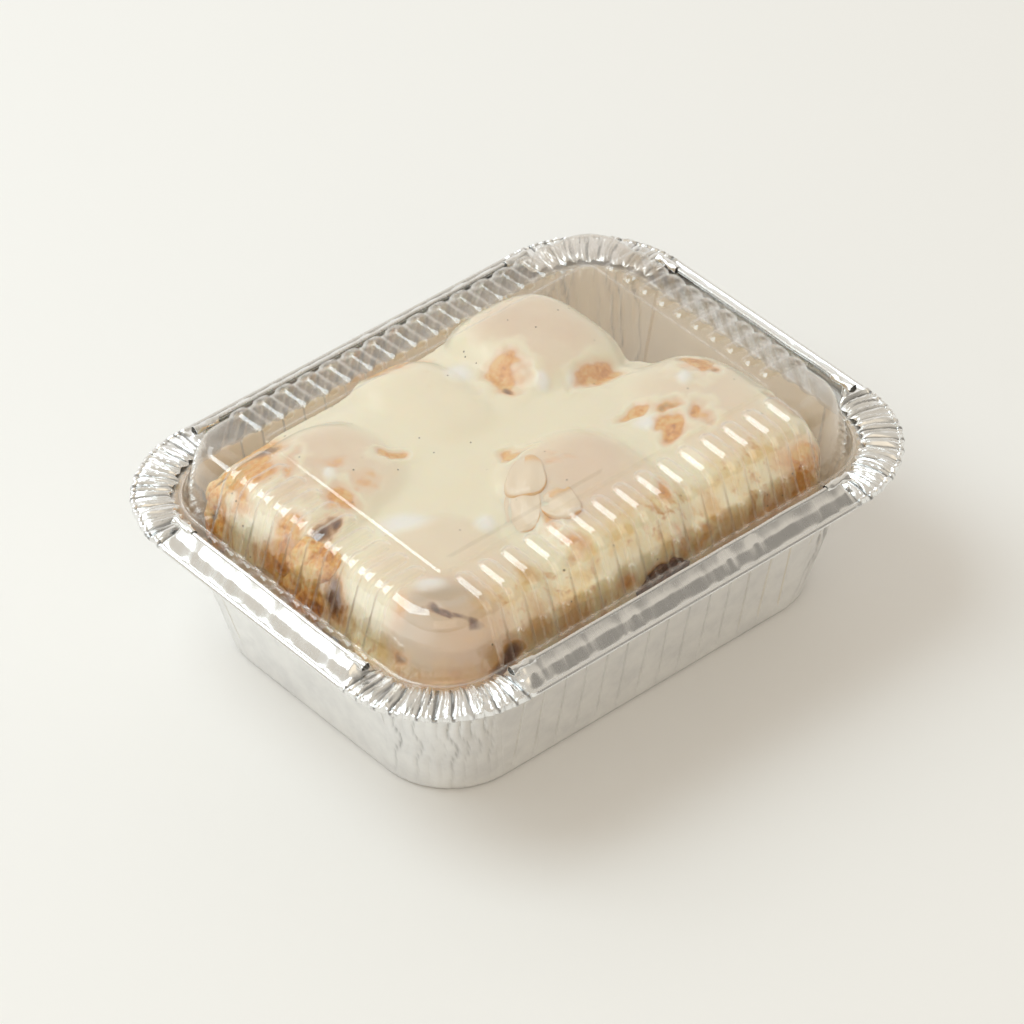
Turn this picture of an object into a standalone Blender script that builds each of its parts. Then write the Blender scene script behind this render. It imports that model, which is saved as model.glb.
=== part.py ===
"""Foil tray meal: iced cinnamon buns in an oblong foil tray, shut under a ribbed clear dome lid.

Units are metres with +Z up. The origin is at the middle of the tray's flat base, +X runs along
the long side and +Y along the short side.
"""

import math
from collections import namedtuple

import bmesh
import bpy

MM = 0.001

# Foil tray
RIM_LENGTH = 218 * MM
RIM_WIDTH = 170 * MM
RIM_RADIUS = 39.5 * MM
FOIL = 0.5 * MM
BASE_INSET = 25.3 * MM
BASE_RADIUS = 25.5 * MM
BASE_BEND = 1.3 * MM
WALL_TOP_INSET = 14.7 * MM
LEDGE_BEND = 0.8 * MM
LEDGE_HEIGHT = 54.2 * MM
BEAD_INSET = 0.25 * MM
BEAD = 1.05 * MM
# The rim is folded up to a ridge on the straight sides and lies flat round the corners
RIDGE_INSET = 8.5 * MM
RIDGE_RADIUS = 29.5 * MM
RIDGE_RISE = 5.9 * MM
HEM = 1.2 * MM
BAND_RADIUS = 33.5 * MM
HEM_RADIUS = 25.7 * MM
FLAT_BAND_INSET = 5.5 * MM
FLAT_RIDGE_INSET = 10.0 * MM
FLAT_HEM_INSET = 13.8 * MM
FLUTE_PITCH = 8.5 * MM
FLUTES_EACH_WAY = 13
FLUTE_DEPTH = 0.35 * MM
CRIMP_HEIGHT = 0.9 * MM
CRIMP_NOTCH = 0.8 * MM
CORNER_CREASE = 0.4 * MM

# Clear lid
LID_SHEET = 0.5 * MM
LID_FLANGE_INSET = 5.0 * MM
LID_FOOT_BEND = 1.0 * MM
LID_FOOT_INSET = 17.4 * MM
LID_FOOT_HEIGHT = 56.2 * MM
LID_FOOT_RADIUS = 22.0 * MM
LID_SHOULDER_INSET = 21.9 * MM
LID_SHOULDER_HEIGHT = 70.0 * MM
LID_SHOULDER_RADIUS = 16.5 * MM
LID_BEND_INSET = 23.9 * MM
LID_BEND_HEIGHT = 74.6 * MM
LID_BEND_RADIUS = 15.0 * MM
LID_BAND_INSET = 28.0 * MM
LID_BAND_HEIGHT = 76.5 * MM
LID_BAND_RADIUS = 11.0 * MM
LID_PANEL_INSET = 41.3 * MM
LID_PANEL_HEIGHT = 76.7 * MM
LID_PANEL_RADIUS = 4.0 * MM
LID_PANEL_EDGE = 2.2 * MM
LONG_RIB_PITCH = 9.0 * MM
LONG_RIBS = 15
SHORT_RIB_PITCH = 8.1 * MM
SHORT_RIBS = 10
RIB_RISE = 1.6 * MM

# Gap that pieces keep where they touch
GAP = 0.3 * MM

# Buns
BUN_SIDE_HEIGHT = 57 * MM
BUN_FOOT_HEIGHT = 0.85 * MM
BUN_CLEARANCE = 2.2 * MM
BUN_SQUARENESS = 3.0
BUN_SIDES = 20
SPIRAL_TURNS = 2.0
SPIRAL_DEPTH = 1.3 * MM
Bun = namedtuple("Bun", "name west east south north top turn")
BUNS = (
    Bun("bun_front_corner", -87.0 * MM, -29.2 * MM, -64.5 * MM, -2.0 * MM, 68.5 * MM, 0.4),
    Bun("bun_front_middle", -28.8 * MM, 27.8 * MM, -64.5 * MM, 1.0 * MM, 70.5 * MM, 2.1),
    Bun("bun_front_right", 28.2 * MM, 79.0 * MM, -64.5 * MM, 6.0 * MM, 68.0 * MM, 3.5),
    Bun("bun_back_left", -87.0 * MM, -27.0 * MM, -1.6 * MM, 54.0 * MM, 69.0 * MM, 5.2),
    Bun("bun_back_middle", -26.6 * MM, 11.0 * MM, 1.4 * MM, 61.0 * MM, 67.0 * MM, 1.2),
    Bun("bun_back_right", 11.4 * MM, 60.0 * MM, 6.4 * MM, 61.0 * MM, 71.0 * MM, 4.3),
)

# Icing
ICING = 2.2 * MM
SKIRT = 1.3 * MM
ICING_SIDES = 56
ICING_CENTRE = (-5 * MM, -3 * MM)
ICING_UNDERSIDE = 59 * MM
ICING_POOL = 67 * MM
POOL_FALL = 7 * MM
DRIP_FOOT = 46 * MM
DRIP_WAVE = 1.5 * MM
VALLEY_SOFTNESS = 1.2 * MM
# Places where the icing stops short, as degrees round the middle, half width and depth
BARE_SIDES = (
    (176, 15, 10 * MM),
    (272, 6, 5 * MM),
    (325, 8, 7 * MM),
    (20, 14, 4 * MM),
    (62, 12, 4 * MM),
)
# Crust that shows through the icing, as places and radii
WINDOW_DEPTH = 6 * MM
CRUST_WINDOWS = (
    (20 * MM, 26 * MM, 8.0 * MM),
    (40 * MM, 13 * MM, 6.0 * MM),
    (67 * MM, -13 * MM, 6.5 * MM),
    (44 * MM, -21 * MM, 5.5 * MM),
    (-37 * MM, 18 * MM, 4.5 * MM),
    (-54 * MM, 10 * MM, 4.0 * MM),
    (-69 * MM, -50 * MM, 5.5 * MM),
)

FLANGE_HEIGHT = LEDGE_HEIGHT + FOIL / 2 + GAP + LID_SHEET / 2
RIM_HEIGHT = FLANGE_HEIGHT + LID_SHEET / 2 + GAP + FOIL / 2

# A ring of a shell: its inset from the rim's edge, height and corner radius on a straight side,
# then its inset and height round the corners
Ring = namedtuple("Ring", "name inset height radius corner_inset corner_height")
# A station is a place on a ring: kind of stretch, how far along it, and 1 on a crest or 0 between
Station = namedtuple("Station", "kind along crest")


def clear_scene():
    for thing in list(bpy.data.objects):
        bpy.data.objects.remove(thing)


def make_collection(name):
    collection = bpy.data.collections.new(name)
    bpy.context.scene.collection.children.link(collection)
    return collection


def make_material(name, colour, roughness, metallic, alpha=1.0):
    material = bpy.data.materials.new(name)
    material.use_nodes = True
    shader = material.node_tree.nodes["Principled BSDF"]
    shader.inputs["Base Color"].default_value = (*colour, 1.0)
    shader.inputs["Roughness"].default_value = roughness
    shader.inputs["Metallic"].default_value = metallic
    shader.inputs["Alpha"].default_value = alpha
    return material


def make_object(name, mesh_builder, collection, material):
    mesh = bpy.data.meshes.new(name)
    mesh_builder.to_mesh(mesh)
    mesh_builder.free()
    mesh.shade_smooth()
    mesh.set_sharp_from_angle(angle=math.radians(50))
    thing = bpy.data.objects.new(name, mesh)
    thing.data.materials.append(material)
    collection.objects.link(thing)
    return thing


def blend(low, high, share):
    return low + (high - low) * share


def between(value, table):
    """The row of numbers at this value of a table's first column."""
    if value <= table[0][0]:
        return table[0][1:]
    for below, above in zip(table, table[1:]):
        if value <= above[0]:
            share = (value - below[0]) / (above[0] - below[0])
            return tuple(blend(low, high, share) for low, high in zip(below[1:], above[1:]))
    return table[-1][1:]


def quarter_stations(short, short_steps, long, long_steps, end_steps, arc_steps, crest_from):
    """Stations from the middle of a short side, round one corner, to the middle of a long side."""
    short_crest, long_crest = crest_from
    stations = []
    for step in range(short_steps + 1):
        stations.append(Station("short", short * step, (step + short_crest) % 2))
    for step in range(1, end_steps + 1):
        stations.append(Station("short end", step / end_steps, 0))
    for step in range(1, arc_steps + 1):
        stations.append(Station("arc", step / arc_steps, step % 2))
    for step in range(end_steps - 1, 0, -1):
        stations.append(Station("long end", step / end_steps, 0))
    for step in range(long_steps, -1, -1):
        stations.append(Station("long", long * step, (step + long_crest) % 2))
    return stations


def all_round(stations):
    """The stations of a quarter, with their signs, all the way round."""
    last = len(stations) - 1
    places = [(1, 1, index) for index in range(last)]
    places += [(-1, 1, index) for index in range(last, 0, -1)]
    places += [(-1, -1, index) for index in range(last)]
    places += [(1, -1, index) for index in range(last, 0, -1)]
    return [(east, north, stations[index]) for east, north, index in places]


def outline_point(station, stations, half_x, half_y, radius):
    """A station's place and outward direction on a rounded rectangle, in the first quarter."""
    corner_x = half_x - radius
    corner_y = half_y - radius
    if station.kind == "short":
        return half_x, min(station.along, corner_y), 1.0, 0.0
    if station.kind == "short end":
        start = max(other.along for other in stations if other.kind == "short")
        return half_x, blend(min(start, corner_y), corner_y, station.along), 1.0, 0.0
    if station.kind == "arc":
        angle = station.along * math.pi / 2
        out_x = math.cos(angle)
        out_y = math.sin(angle)
        return corner_x + radius * out_x, corner_y + radius * out_y, out_x, out_y
    if station.kind == "long end":
        start = max(other.along for other in stations if other.kind == "long")
        return blend(min(start, corner_x), corner_x, station.along), half_y, 0.0, 1.0
    return min(station.along, corner_x), half_y, 0.0, 1.0


def shell_ring(ring, stations, relief):
    """The points of one ring. relief gives how far a station moves outwards and upwards."""
    points = []
    for east, north, station in all_round(stations):
        flat = station.kind == "arc"
        inset = ring.corner_inset if flat else ring.inset
        height = ring.corner_height if flat else ring.height
        half_x = RIM_LENGTH / 2 - inset
        half_y = RIM_WIDTH / 2 - inset
        x, y, out_x, out_y = outline_point(station, stations, half_x, half_y, ring.radius)
        out, up = relief(ring, station)
        points.append((east * (x + out * out_x), north * (y + out * out_y), height + up))
    return points


def loft(rings):
    """Skin a run of rings, each with the same number of points, and fill the first one."""
    sheet = bmesh.new()
    loops = [[sheet.verts.new(point) for point in ring] for ring in rings]
    for lower, upper in zip(loops, loops[1:]):
        for index in range(len(lower)):
            after = (index + 1) % len(lower)
            sheet.faces.new((lower[index], lower[after], upper[after], upper[index]))
    sheet.faces.new(reversed(loops[0]))
    bmesh.ops.recalc_face_normals(sheet, faces=sheet.faces)
    return sheet


def thicken(thing, thickness):
    solidify = thing.modifiers.new("sheet thickness", "SOLIDIFY")
    solidify.thickness = thickness
    solidify.offset = 0.0
    solidify.use_even_offset = True


def tray_rings():
    """From the floor up the wall, out along the ledge, round the bead and back up to the ridge."""
    ridge = RIM_HEIGHT + RIDGE_RISE
    flat = RIM_HEIGHT
    wall_top = LEDGE_HEIGHT - LEDGE_BEND
    wall_top_radius = RIM_RADIUS - WALL_TOP_INSET
    bead = BEAD + BEAD_INSET
    rows = (
        ("floor edge", BASE_INSET + BASE_BEND, FOIL / 2, BASE_RADIUS - BASE_BEND),
        ("wall foot", BASE_INSET, FOIL / 2 + BASE_BEND, BASE_RADIUS),
        ("wall top", WALL_TOP_INSET, wall_top, wall_top_radius),
        ("ledge in", WALL_TOP_INSET - LEDGE_BEND, LEDGE_HEIGHT, wall_top_radius + LEDGE_BEND),
        ("ledge out", bead, LEDGE_HEIGHT, RIM_RADIUS - BEAD),
        ("bead", BEAD_INSET, FLANGE_HEIGHT, RIM_RADIUS - BEAD_INSET),
        ("bead top", bead, flat, RIM_RADIUS - BEAD, bead, flat),
        ("band top", RIDGE_INSET - HEM, ridge - HEM, BAND_RADIUS, FLAT_BAND_INSET, flat),
        ("ridge", RIDGE_INSET, ridge, RIDGE_RADIUS, FLAT_RIDGE_INSET, flat),
        ("hem", RIDGE_INSET + HEM, ridge - HEM, HEM_RADIUS, FLAT_HEM_INSET, flat),
    )
    return [Ring(*row) if len(row) == 6 else Ring(*row, row[1], row[2]) for row in rows]


def tray_relief(ring, station):
    """Flutes down the long walls, crimps round the flat corners and creases below them."""
    if station.kind == "long" and ring.name in ("wall foot", "wall top"):
        return FLUTE_DEPTH * (2 * station.crest - 1), 0.0
    if station.kind != "arc":
        return 0.0, 0.0
    if ring.name == "wall top":
        return -CORNER_CREASE * station.crest, 0.0
    if ring.name == "bead":
        return -CRIMP_NOTCH * station.crest, 0.0
    if ring.name in ("bead top", "band top", "ridge", "hem"):
        return 0.0, CRIMP_HEIGHT * station.crest
    return 0.0, 0.0


def make_tray(collection):
    stations = quarter_stations(
        short=8 * MM,
        short_steps=4,
        long=FLUTE_PITCH / 2,
        long_steps=FLUTES_EACH_WAY,
        end_steps=2,
        arc_steps=12,
        crest_from=(0, 0),
    )
    rings = [shell_ring(ring, stations, tray_relief) for ring in tray_rings()]
    foil = make_material("aluminium foil", (0.78, 0.78, 0.77), 0.32, 1.0)
    tray = make_object("foil_tray", loft(rings), collection, foil)
    thicken(tray, FOIL)


def lid_rings():
    """From the middle panel out over the ribbed band, down the wall and out along the flange."""
    foot_in = LID_FOOT_INSET - LID_FOOT_BEND
    panel_out = LID_PANEL_INSET - LID_PANEL_EDGE
    rows = (
        ("panel", LID_PANEL_INSET, LID_PANEL_HEIGHT, LID_PANEL_RADIUS),
        ("band in", panel_out, LID_PANEL_HEIGHT, LID_PANEL_RADIUS + LID_PANEL_EDGE / 2),
        ("band out", LID_BAND_INSET, LID_BAND_HEIGHT, LID_BAND_RADIUS),
        ("bend", LID_BEND_INSET, LID_BEND_HEIGHT, LID_BEND_RADIUS),
        ("shoulder", LID_SHOULDER_INSET, LID_SHOULDER_HEIGHT, LID_SHOULDER_RADIUS),
        ("foot", LID_FOOT_INSET, LID_FOOT_HEIGHT, LID_FOOT_RADIUS),
        ("flange in", foot_in, FLANGE_HEIGHT, LID_FOOT_RADIUS + LID_FOOT_BEND),
        ("flange out", LID_FLANGE_INSET, FLANGE_HEIGHT, RIM_RADIUS - LID_FLANGE_INSET),
    )
    return [Ring(*row, row[1], row[2]) for row in rows]


def lid_relief(ring, station):
    """Ribs run over the band, round the shoulder and down the wall to a scalloped foot."""
    outward = {"band in": 0.0, "band out": 0.1, "bend": 0.75, "shoulder": 0.8, "foot": 0.75}
    upward = {"band in": 1.0, "band out": 1.0, "bend": 0.65, "shoulder": 0.2, "foot": 0.0}
    if station.kind not in ("short", "long") or ring.name not in outward:
        return 0.0, 0.0
    rib = RIB_RISE * station.crest
    return rib * outward[ring.name], rib * upward[ring.name]


def make_lid(collection):
    stations = quarter_stations(
        short=SHORT_RIB_PITCH / 2,
        short_steps=SHORT_RIBS,
        long=LONG_RIB_PITCH / 2,
        long_steps=LONG_RIBS,
        end_steps=1,
        arc_steps=6,
        crest_from=(0, 1),
    )
    rings = [shell_ring(ring, stations, lid_relief) for ring in lid_rings()]
    plastic = make_material("clear plastic", (0.93, 0.93, 0.92), 0.05, 0.0, alpha=0.3)
    lid = make_object("clear_lid", loft(rings), collection, plastic)
    thicken(lid, LID_SHEET)


def room(height, spare):
    """Half length, half width and corner radius of the space inside tray and lid at a height."""
    foil = FOIL / 2 + FLUTE_DEPTH + CORNER_CREASE + GAP
    sheet = LID_SHEET + GAP
    wall_top = WALL_TOP_INSET + foil
    foot = LID_FOOT_INSET + sheet
    shoulder = LID_SHOULDER_INSET + sheet
    bend = LID_BEND_INSET + 3 * MM
    table = (
        (0.0, BASE_INSET + foil, BASE_RADIUS - foil),
        (LEDGE_HEIGHT - 4 * MM, wall_top, RIM_RADIUS - wall_top - 2 * foil),
        (LEDGE_HEIGHT - 1 * MM, foot, LID_FOOT_RADIUS - sheet),
        (LID_FOOT_HEIGHT, foot, LID_FOOT_RADIUS - sheet),
        (LID_SHOULDER_HEIGHT, shoulder, LID_SHOULDER_RADIUS - sheet),
        (LID_BEND_HEIGHT, bend, LID_BEND_RADIUS - sheet),
    )
    inset, radius = between(height, table)
    inset += spare
    return RIM_LENGTH / 2 - inset, RIM_WIDTH / 2 - inset, radius - spare


def keep_inside(x, y, height, spare):
    """Pull a point in to the space inside tray and lid."""
    half_x, half_y, radius = room(height, spare)
    across = min(abs(x), half_x)
    along = min(abs(y), half_y)
    over_x = across - (half_x - radius)
    over_y = along - (half_y - radius)
    if over_x > 0 and over_y > 0:
        scale = min(1.0, radius / math.hypot(over_x, over_y))
        across = half_x - radius + over_x * scale
        along = half_y - radius + over_y * scale
    return math.copysign(across, x), math.copysign(along, y)


def bun_centre(bun):
    return (bun.west + bun.east) / 2, (bun.south + bun.north) / 2


def how_far_out(bun, x, y):
    """0 at a bun's middle and 1 at its side."""
    centre_x, centre_y = bun_centre(bun)
    share_x = abs(x - centre_x) / ((bun.east - bun.west) / 2)
    share_y = abs(y - centre_y) / ((bun.north - bun.south) / 2)
    return (share_x**BUN_SQUARENESS + share_y**BUN_SQUARENESS) ** (1 / BUN_SQUARENESS)


def dome_height(bun, out):
    """Height of a bun's top, before its spiral is pressed in."""
    if out >= 1:
        return BUN_SIDE_HEIGHT
    return BUN_SIDE_HEIGHT + (bun.top - BUN_SIDE_HEIGHT) * (1 - out**3) ** 0.6


def spiral_groove(bun, out, angle):
    """Depth of the roll's spiral, which fades at its middle and its side."""
    wave = 0.5 - 0.5 * math.cos(math.tau * SPIRAL_TURNS * out - angle - bun.turn)
    return SPIRAL_DEPTH * wave * math.sin(math.pi * min(1.0, out)) ** 0.5


# Rings of a bun from its top down: how far out each lies, and the height of those below the dome
BUN_RINGS = (
    (0.0, None),
    (0.24, None),
    (0.45, None),
    (0.64, None),
    (0.81, None),
    (0.94, None),
    (1.0, BUN_SIDE_HEIGHT - 1 * MM),
    (1.0, BUN_SIDE_HEIGHT / 2),
    (0.98, BUN_FOOT_HEIGHT + 3 * MM),
    (0.9, BUN_FOOT_HEIGHT),
    (0.0, BUN_FOOT_HEIGHT),
)


def shape_bun(bun, grow, relief):
    """A sphere drawn out to a rolled bun that fills its place in the tray."""
    body = bmesh.new()
    levels = len(BUN_RINGS) - 1
    bmesh.ops.create_uvsphere(body, u_segments=BUN_SIDES, v_segments=levels, radius=1.0)
    centre_x, centre_y = bun_centre(bun)
    half_x = (bun.east - bun.west) / 2
    half_y = (bun.north - bun.south) / 2
    for vertex in body.verts:
        level = round(math.acos(max(-1.0, min(1.0, vertex.co.z))) / math.pi * levels)
        out, height = BUN_RINGS[level]
        angle = math.atan2(vertex.co.y, vertex.co.x)
        cosine = math.cos(angle)
        sine = math.sin(angle)
        reach_x = math.copysign(abs(cosine) ** (2 / BUN_SQUARENESS), cosine)
        reach_y = math.copysign(abs(sine) ** (2 / BUN_SQUARENESS), sine)
        x = centre_x + (half_x + grow) * out * reach_x
        y = centre_y + (half_y + grow) * out * reach_y
        if height is None:
            height = dome_height(bun, out) + grow
            height -= relief * spiral_groove(bun, out, angle)
        elif level >= levels - 1:
            height -= grow
        x, y = keep_inside(x, y, height, BUN_CLEARANCE - grow)
        vertex.co = (x, y, height)
    return body


def make_buns(collection):
    dough = make_material("baked dough", (0.62, 0.33, 0.13), 0.55, 0.0)
    for bun in BUNS:
        make_object(bun.name, shape_bun(bun, grow=0.0, relief=1.0), collection, dough)


def soft_highest(heights):
    """The highest of some heights, with the valleys between them softened."""
    highest = max(heights)
    total = sum(math.exp((height - highest) / VALLEY_SOFTNESS) for height in heights)
    return highest + VALLEY_SOFTNESS * math.log(total)


def icing_height(x, y, share):
    """Height of the icing: a coat on each bun, and a pool that fills the valleys between them."""
    coats = [dome_height(bun, how_far_out(bun, x, y)) + ICING for bun in BUNS]
    pool = ICING_POOL - POOL_FALL * share**4
    return soft_highest([max(coats), pool])


def bun_reach(angle):
    """How far the buns reach from the middle of the icing in one direction."""
    centre_x, centre_y = ICING_CENTRE
    step = 0.5 * MM
    reach = 0.0
    for count in range(1, 250):
        x = centre_x + count * step * math.cos(angle)
        y = centre_y + count * step * math.sin(angle)
        if min(how_far_out(bun, x, y) for bun in BUNS) < 1:
            reach = count * step
    return reach


def bare_depth(angle):
    """How far short of the side the icing stops in one direction."""
    depth = 0.0
    for middle, half_width, short in BARE_SIDES:
        off = math.degrees(abs(math.remainder(angle - math.radians(middle), math.tau)))
        if off < half_width:
            depth += short * (0.5 + 0.5 * math.cos(math.pi * off / half_width))
    return depth


def icing_reach(angle):
    """How far the icing reaches in one direction, bridging the clefts between the buns."""
    spread = math.radians(5)
    nearby = [bun_reach(angle + turn * spread) for turn in (-1, 0, 1)]
    return max(nearby[1], sum(nearby) / 3) + SKIRT - bare_depth(angle)


# Rings of the icing from its top down: share of its reach, and share of the way down the side
ICING_RINGS = (
    (0.0, 0.0),
    (0.18, 0.0),
    (0.35, 0.0),
    (0.5, 0.0),
    (0.64, 0.0),
    (0.77, 0.0),
    (0.88, 0.0),
    (0.96, 0.0),
    (1.0, 0.15),
    (1.0, 0.6),
    (1.0, 1.0),
    (0.93, 1.0),
    (0.7, None),
    (0.0, None),
)


def icing_point(angle, share, down):
    """A point of the icing's skin, kept clear of the tray and the lid."""
    centre_x, centre_y = ICING_CENTRE
    reach = icing_reach(angle)
    x = centre_x + share * reach * math.cos(angle)
    y = centre_y + share * reach * math.sin(angle)
    if down is None:
        return x, y, ICING_UNDERSIDE
    drip = DRIP_FOOT + DRIP_WAVE * (math.sin(5 * angle) + math.sin(9 * angle + 1))
    height = blend(icing_height(x, y, share), drip, down)
    x, y = keep_inside(x, y, height, 0.0)
    return x, y, height


def make_blanket():
    """A sphere drawn out over the buns, from their tops to the drips down their sides."""
    blanket = bmesh.new()
    levels = len(ICING_RINGS) - 1
    bmesh.ops.create_uvsphere(blanket, u_segments=ICING_SIDES, v_segments=levels, radius=1.0)
    for vertex in blanket.verts:
        level = round(math.acos(max(-1.0, min(1.0, vertex.co.z))) / math.pi * levels)
        share, down = ICING_RINGS[level]
        vertex.co = icing_point(math.atan2(vertex.co.y, vertex.co.x), share, down)
    return blanket


def make_cutter(name, mesh_builder, cutters, material):
    cutter = make_object(name, mesh_builder, cutters, material)
    cutter.hide_render = True
    cutter.display_type = "WIRE"


def make_windows(cutters, material):
    """Rounded cutters that open the icing over the crust below it."""
    for number, (x, y, radius) in enumerate(CRUST_WINDOWS):
        window = bmesh.new()
        bmesh.ops.create_uvsphere(window, u_segments=10, v_segments=6, radius=1.0)
        bmesh.ops.scale(window, vec=(radius, radius * 0.8, WINDOW_DEPTH), verts=window.verts)
        place = (x, y, icing_height(x, y, 0.5))
        bmesh.ops.translate(window, vec=place, verts=window.verts)
        make_cutter(f"crust_window_{number}", window, cutters, material)


def make_icing(collection, cutters):
    cream = make_material("vanilla icing", (0.83, 0.74, 0.56), 0.25, 0.0)
    icing = make_object("icing", make_blanket(), collection, cream)
    for bun in BUNS:
        make_cutter(f"{bun.name}_space", shape_bun(bun, grow=GAP, relief=0.0), cutters, cream)
    make_windows(cutters, cream)
    fit = icing.modifiers.new("fit over buns", "BOOLEAN")
    fit.operation = "DIFFERENCE"
    fit.solver = "EXACT"
    fit.operand_type = "COLLECTION"
    fit.collection = cutters


def main():
    clear_scene()
    parts = make_collection("foil_tray_meal")
    cutters = make_collection("cutters")
    make_tray(parts)
    make_lid(parts)
    make_buns(parts)
    make_icing(parts, cutters)


main()
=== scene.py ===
"""Iced cinnamon buns in an oblong foil tray with a folded rim, shut under a ribbed clear lid.

Lengths are in millimetres until a mesh gets its points, and the tray's long side runs along X.
"""

import math
from collections import namedtuple

import bmesh
import bpy
import numpy as np
from mathutils import Matrix, Vector, noise


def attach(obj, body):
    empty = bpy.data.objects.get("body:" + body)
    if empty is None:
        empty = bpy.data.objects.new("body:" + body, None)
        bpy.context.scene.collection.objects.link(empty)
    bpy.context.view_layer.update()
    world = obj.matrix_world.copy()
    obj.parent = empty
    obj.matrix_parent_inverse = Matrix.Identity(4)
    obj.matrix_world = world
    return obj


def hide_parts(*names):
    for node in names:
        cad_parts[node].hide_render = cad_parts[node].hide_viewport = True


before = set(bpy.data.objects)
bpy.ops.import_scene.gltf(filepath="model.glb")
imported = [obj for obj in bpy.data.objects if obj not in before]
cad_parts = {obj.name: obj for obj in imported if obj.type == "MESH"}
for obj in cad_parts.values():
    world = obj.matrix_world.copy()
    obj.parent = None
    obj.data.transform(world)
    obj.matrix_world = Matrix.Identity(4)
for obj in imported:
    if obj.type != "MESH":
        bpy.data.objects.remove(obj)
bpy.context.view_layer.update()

MM = 0.001
LAMP_DISTANCE = 1.8

# The tray's rim and the lid's foot, as half lengths and half widths from the middle
RIM_X = 109.0
RIM_Y = 85.0
FOLD_END_X = 64.5
FOLD_END_Y = 41.5
PLEAT_PITCH = 8.5
PLEATS = 13
TUCK_Y = 40.1
FOLD_RADIUS = 39.5
CURL_INSET = 8.75
CURL_HEIGHT = 60.75

LONG_RIBS = [9.0 * step for step in range(-7, 8)]
SHORT_RIBS = [8.1 * (step + 0.5) for step in range(-5, 5)]
RIB_HALF = 2.95
RIB_FLANK = 1.6
RIB_START = 39.5

Bun = namedtuple("Bun", "name west east south north top turn sheer")
BUNS = (
    Bun("bun_front_corner", -87.0, -29.2, -64.5, -2.0, 68.5, 0.4, 0.55),
    Bun("bun_front_middle", -28.8, 27.8, -64.5, 1.0, 70.5, 2.1, 0.9),
    Bun("bun_front_right", 28.2, 79.0, -64.5, 6.0, 68.0, 3.5, 0.6),
    Bun("bun_back_left", -87.0, -27.0, -1.6, 54.0, 69.0, 5.2, 0.8),
    Bun("bun_back_middle", -26.6, 11.0, 1.4, 61.0, 67.0, 1.2, 0.1),
    Bun("bun_back_right", 11.4, 60.0, 6.4, 61.0, 71.0, 4.3, 0.95),
)
BUN_SIDE = 57.0
BUN_FOOT = 0.85
COAT = 2.0
SKIRT = 1.3
ICING_CENTRE = (-5.0, -3.0)
# Front corner where the icing is painted darker and greyer: partly thinner icing, partly painted
# shade.
DULL_SHADED_CORNER = (-73.0, -53.0, 60.0)

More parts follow.
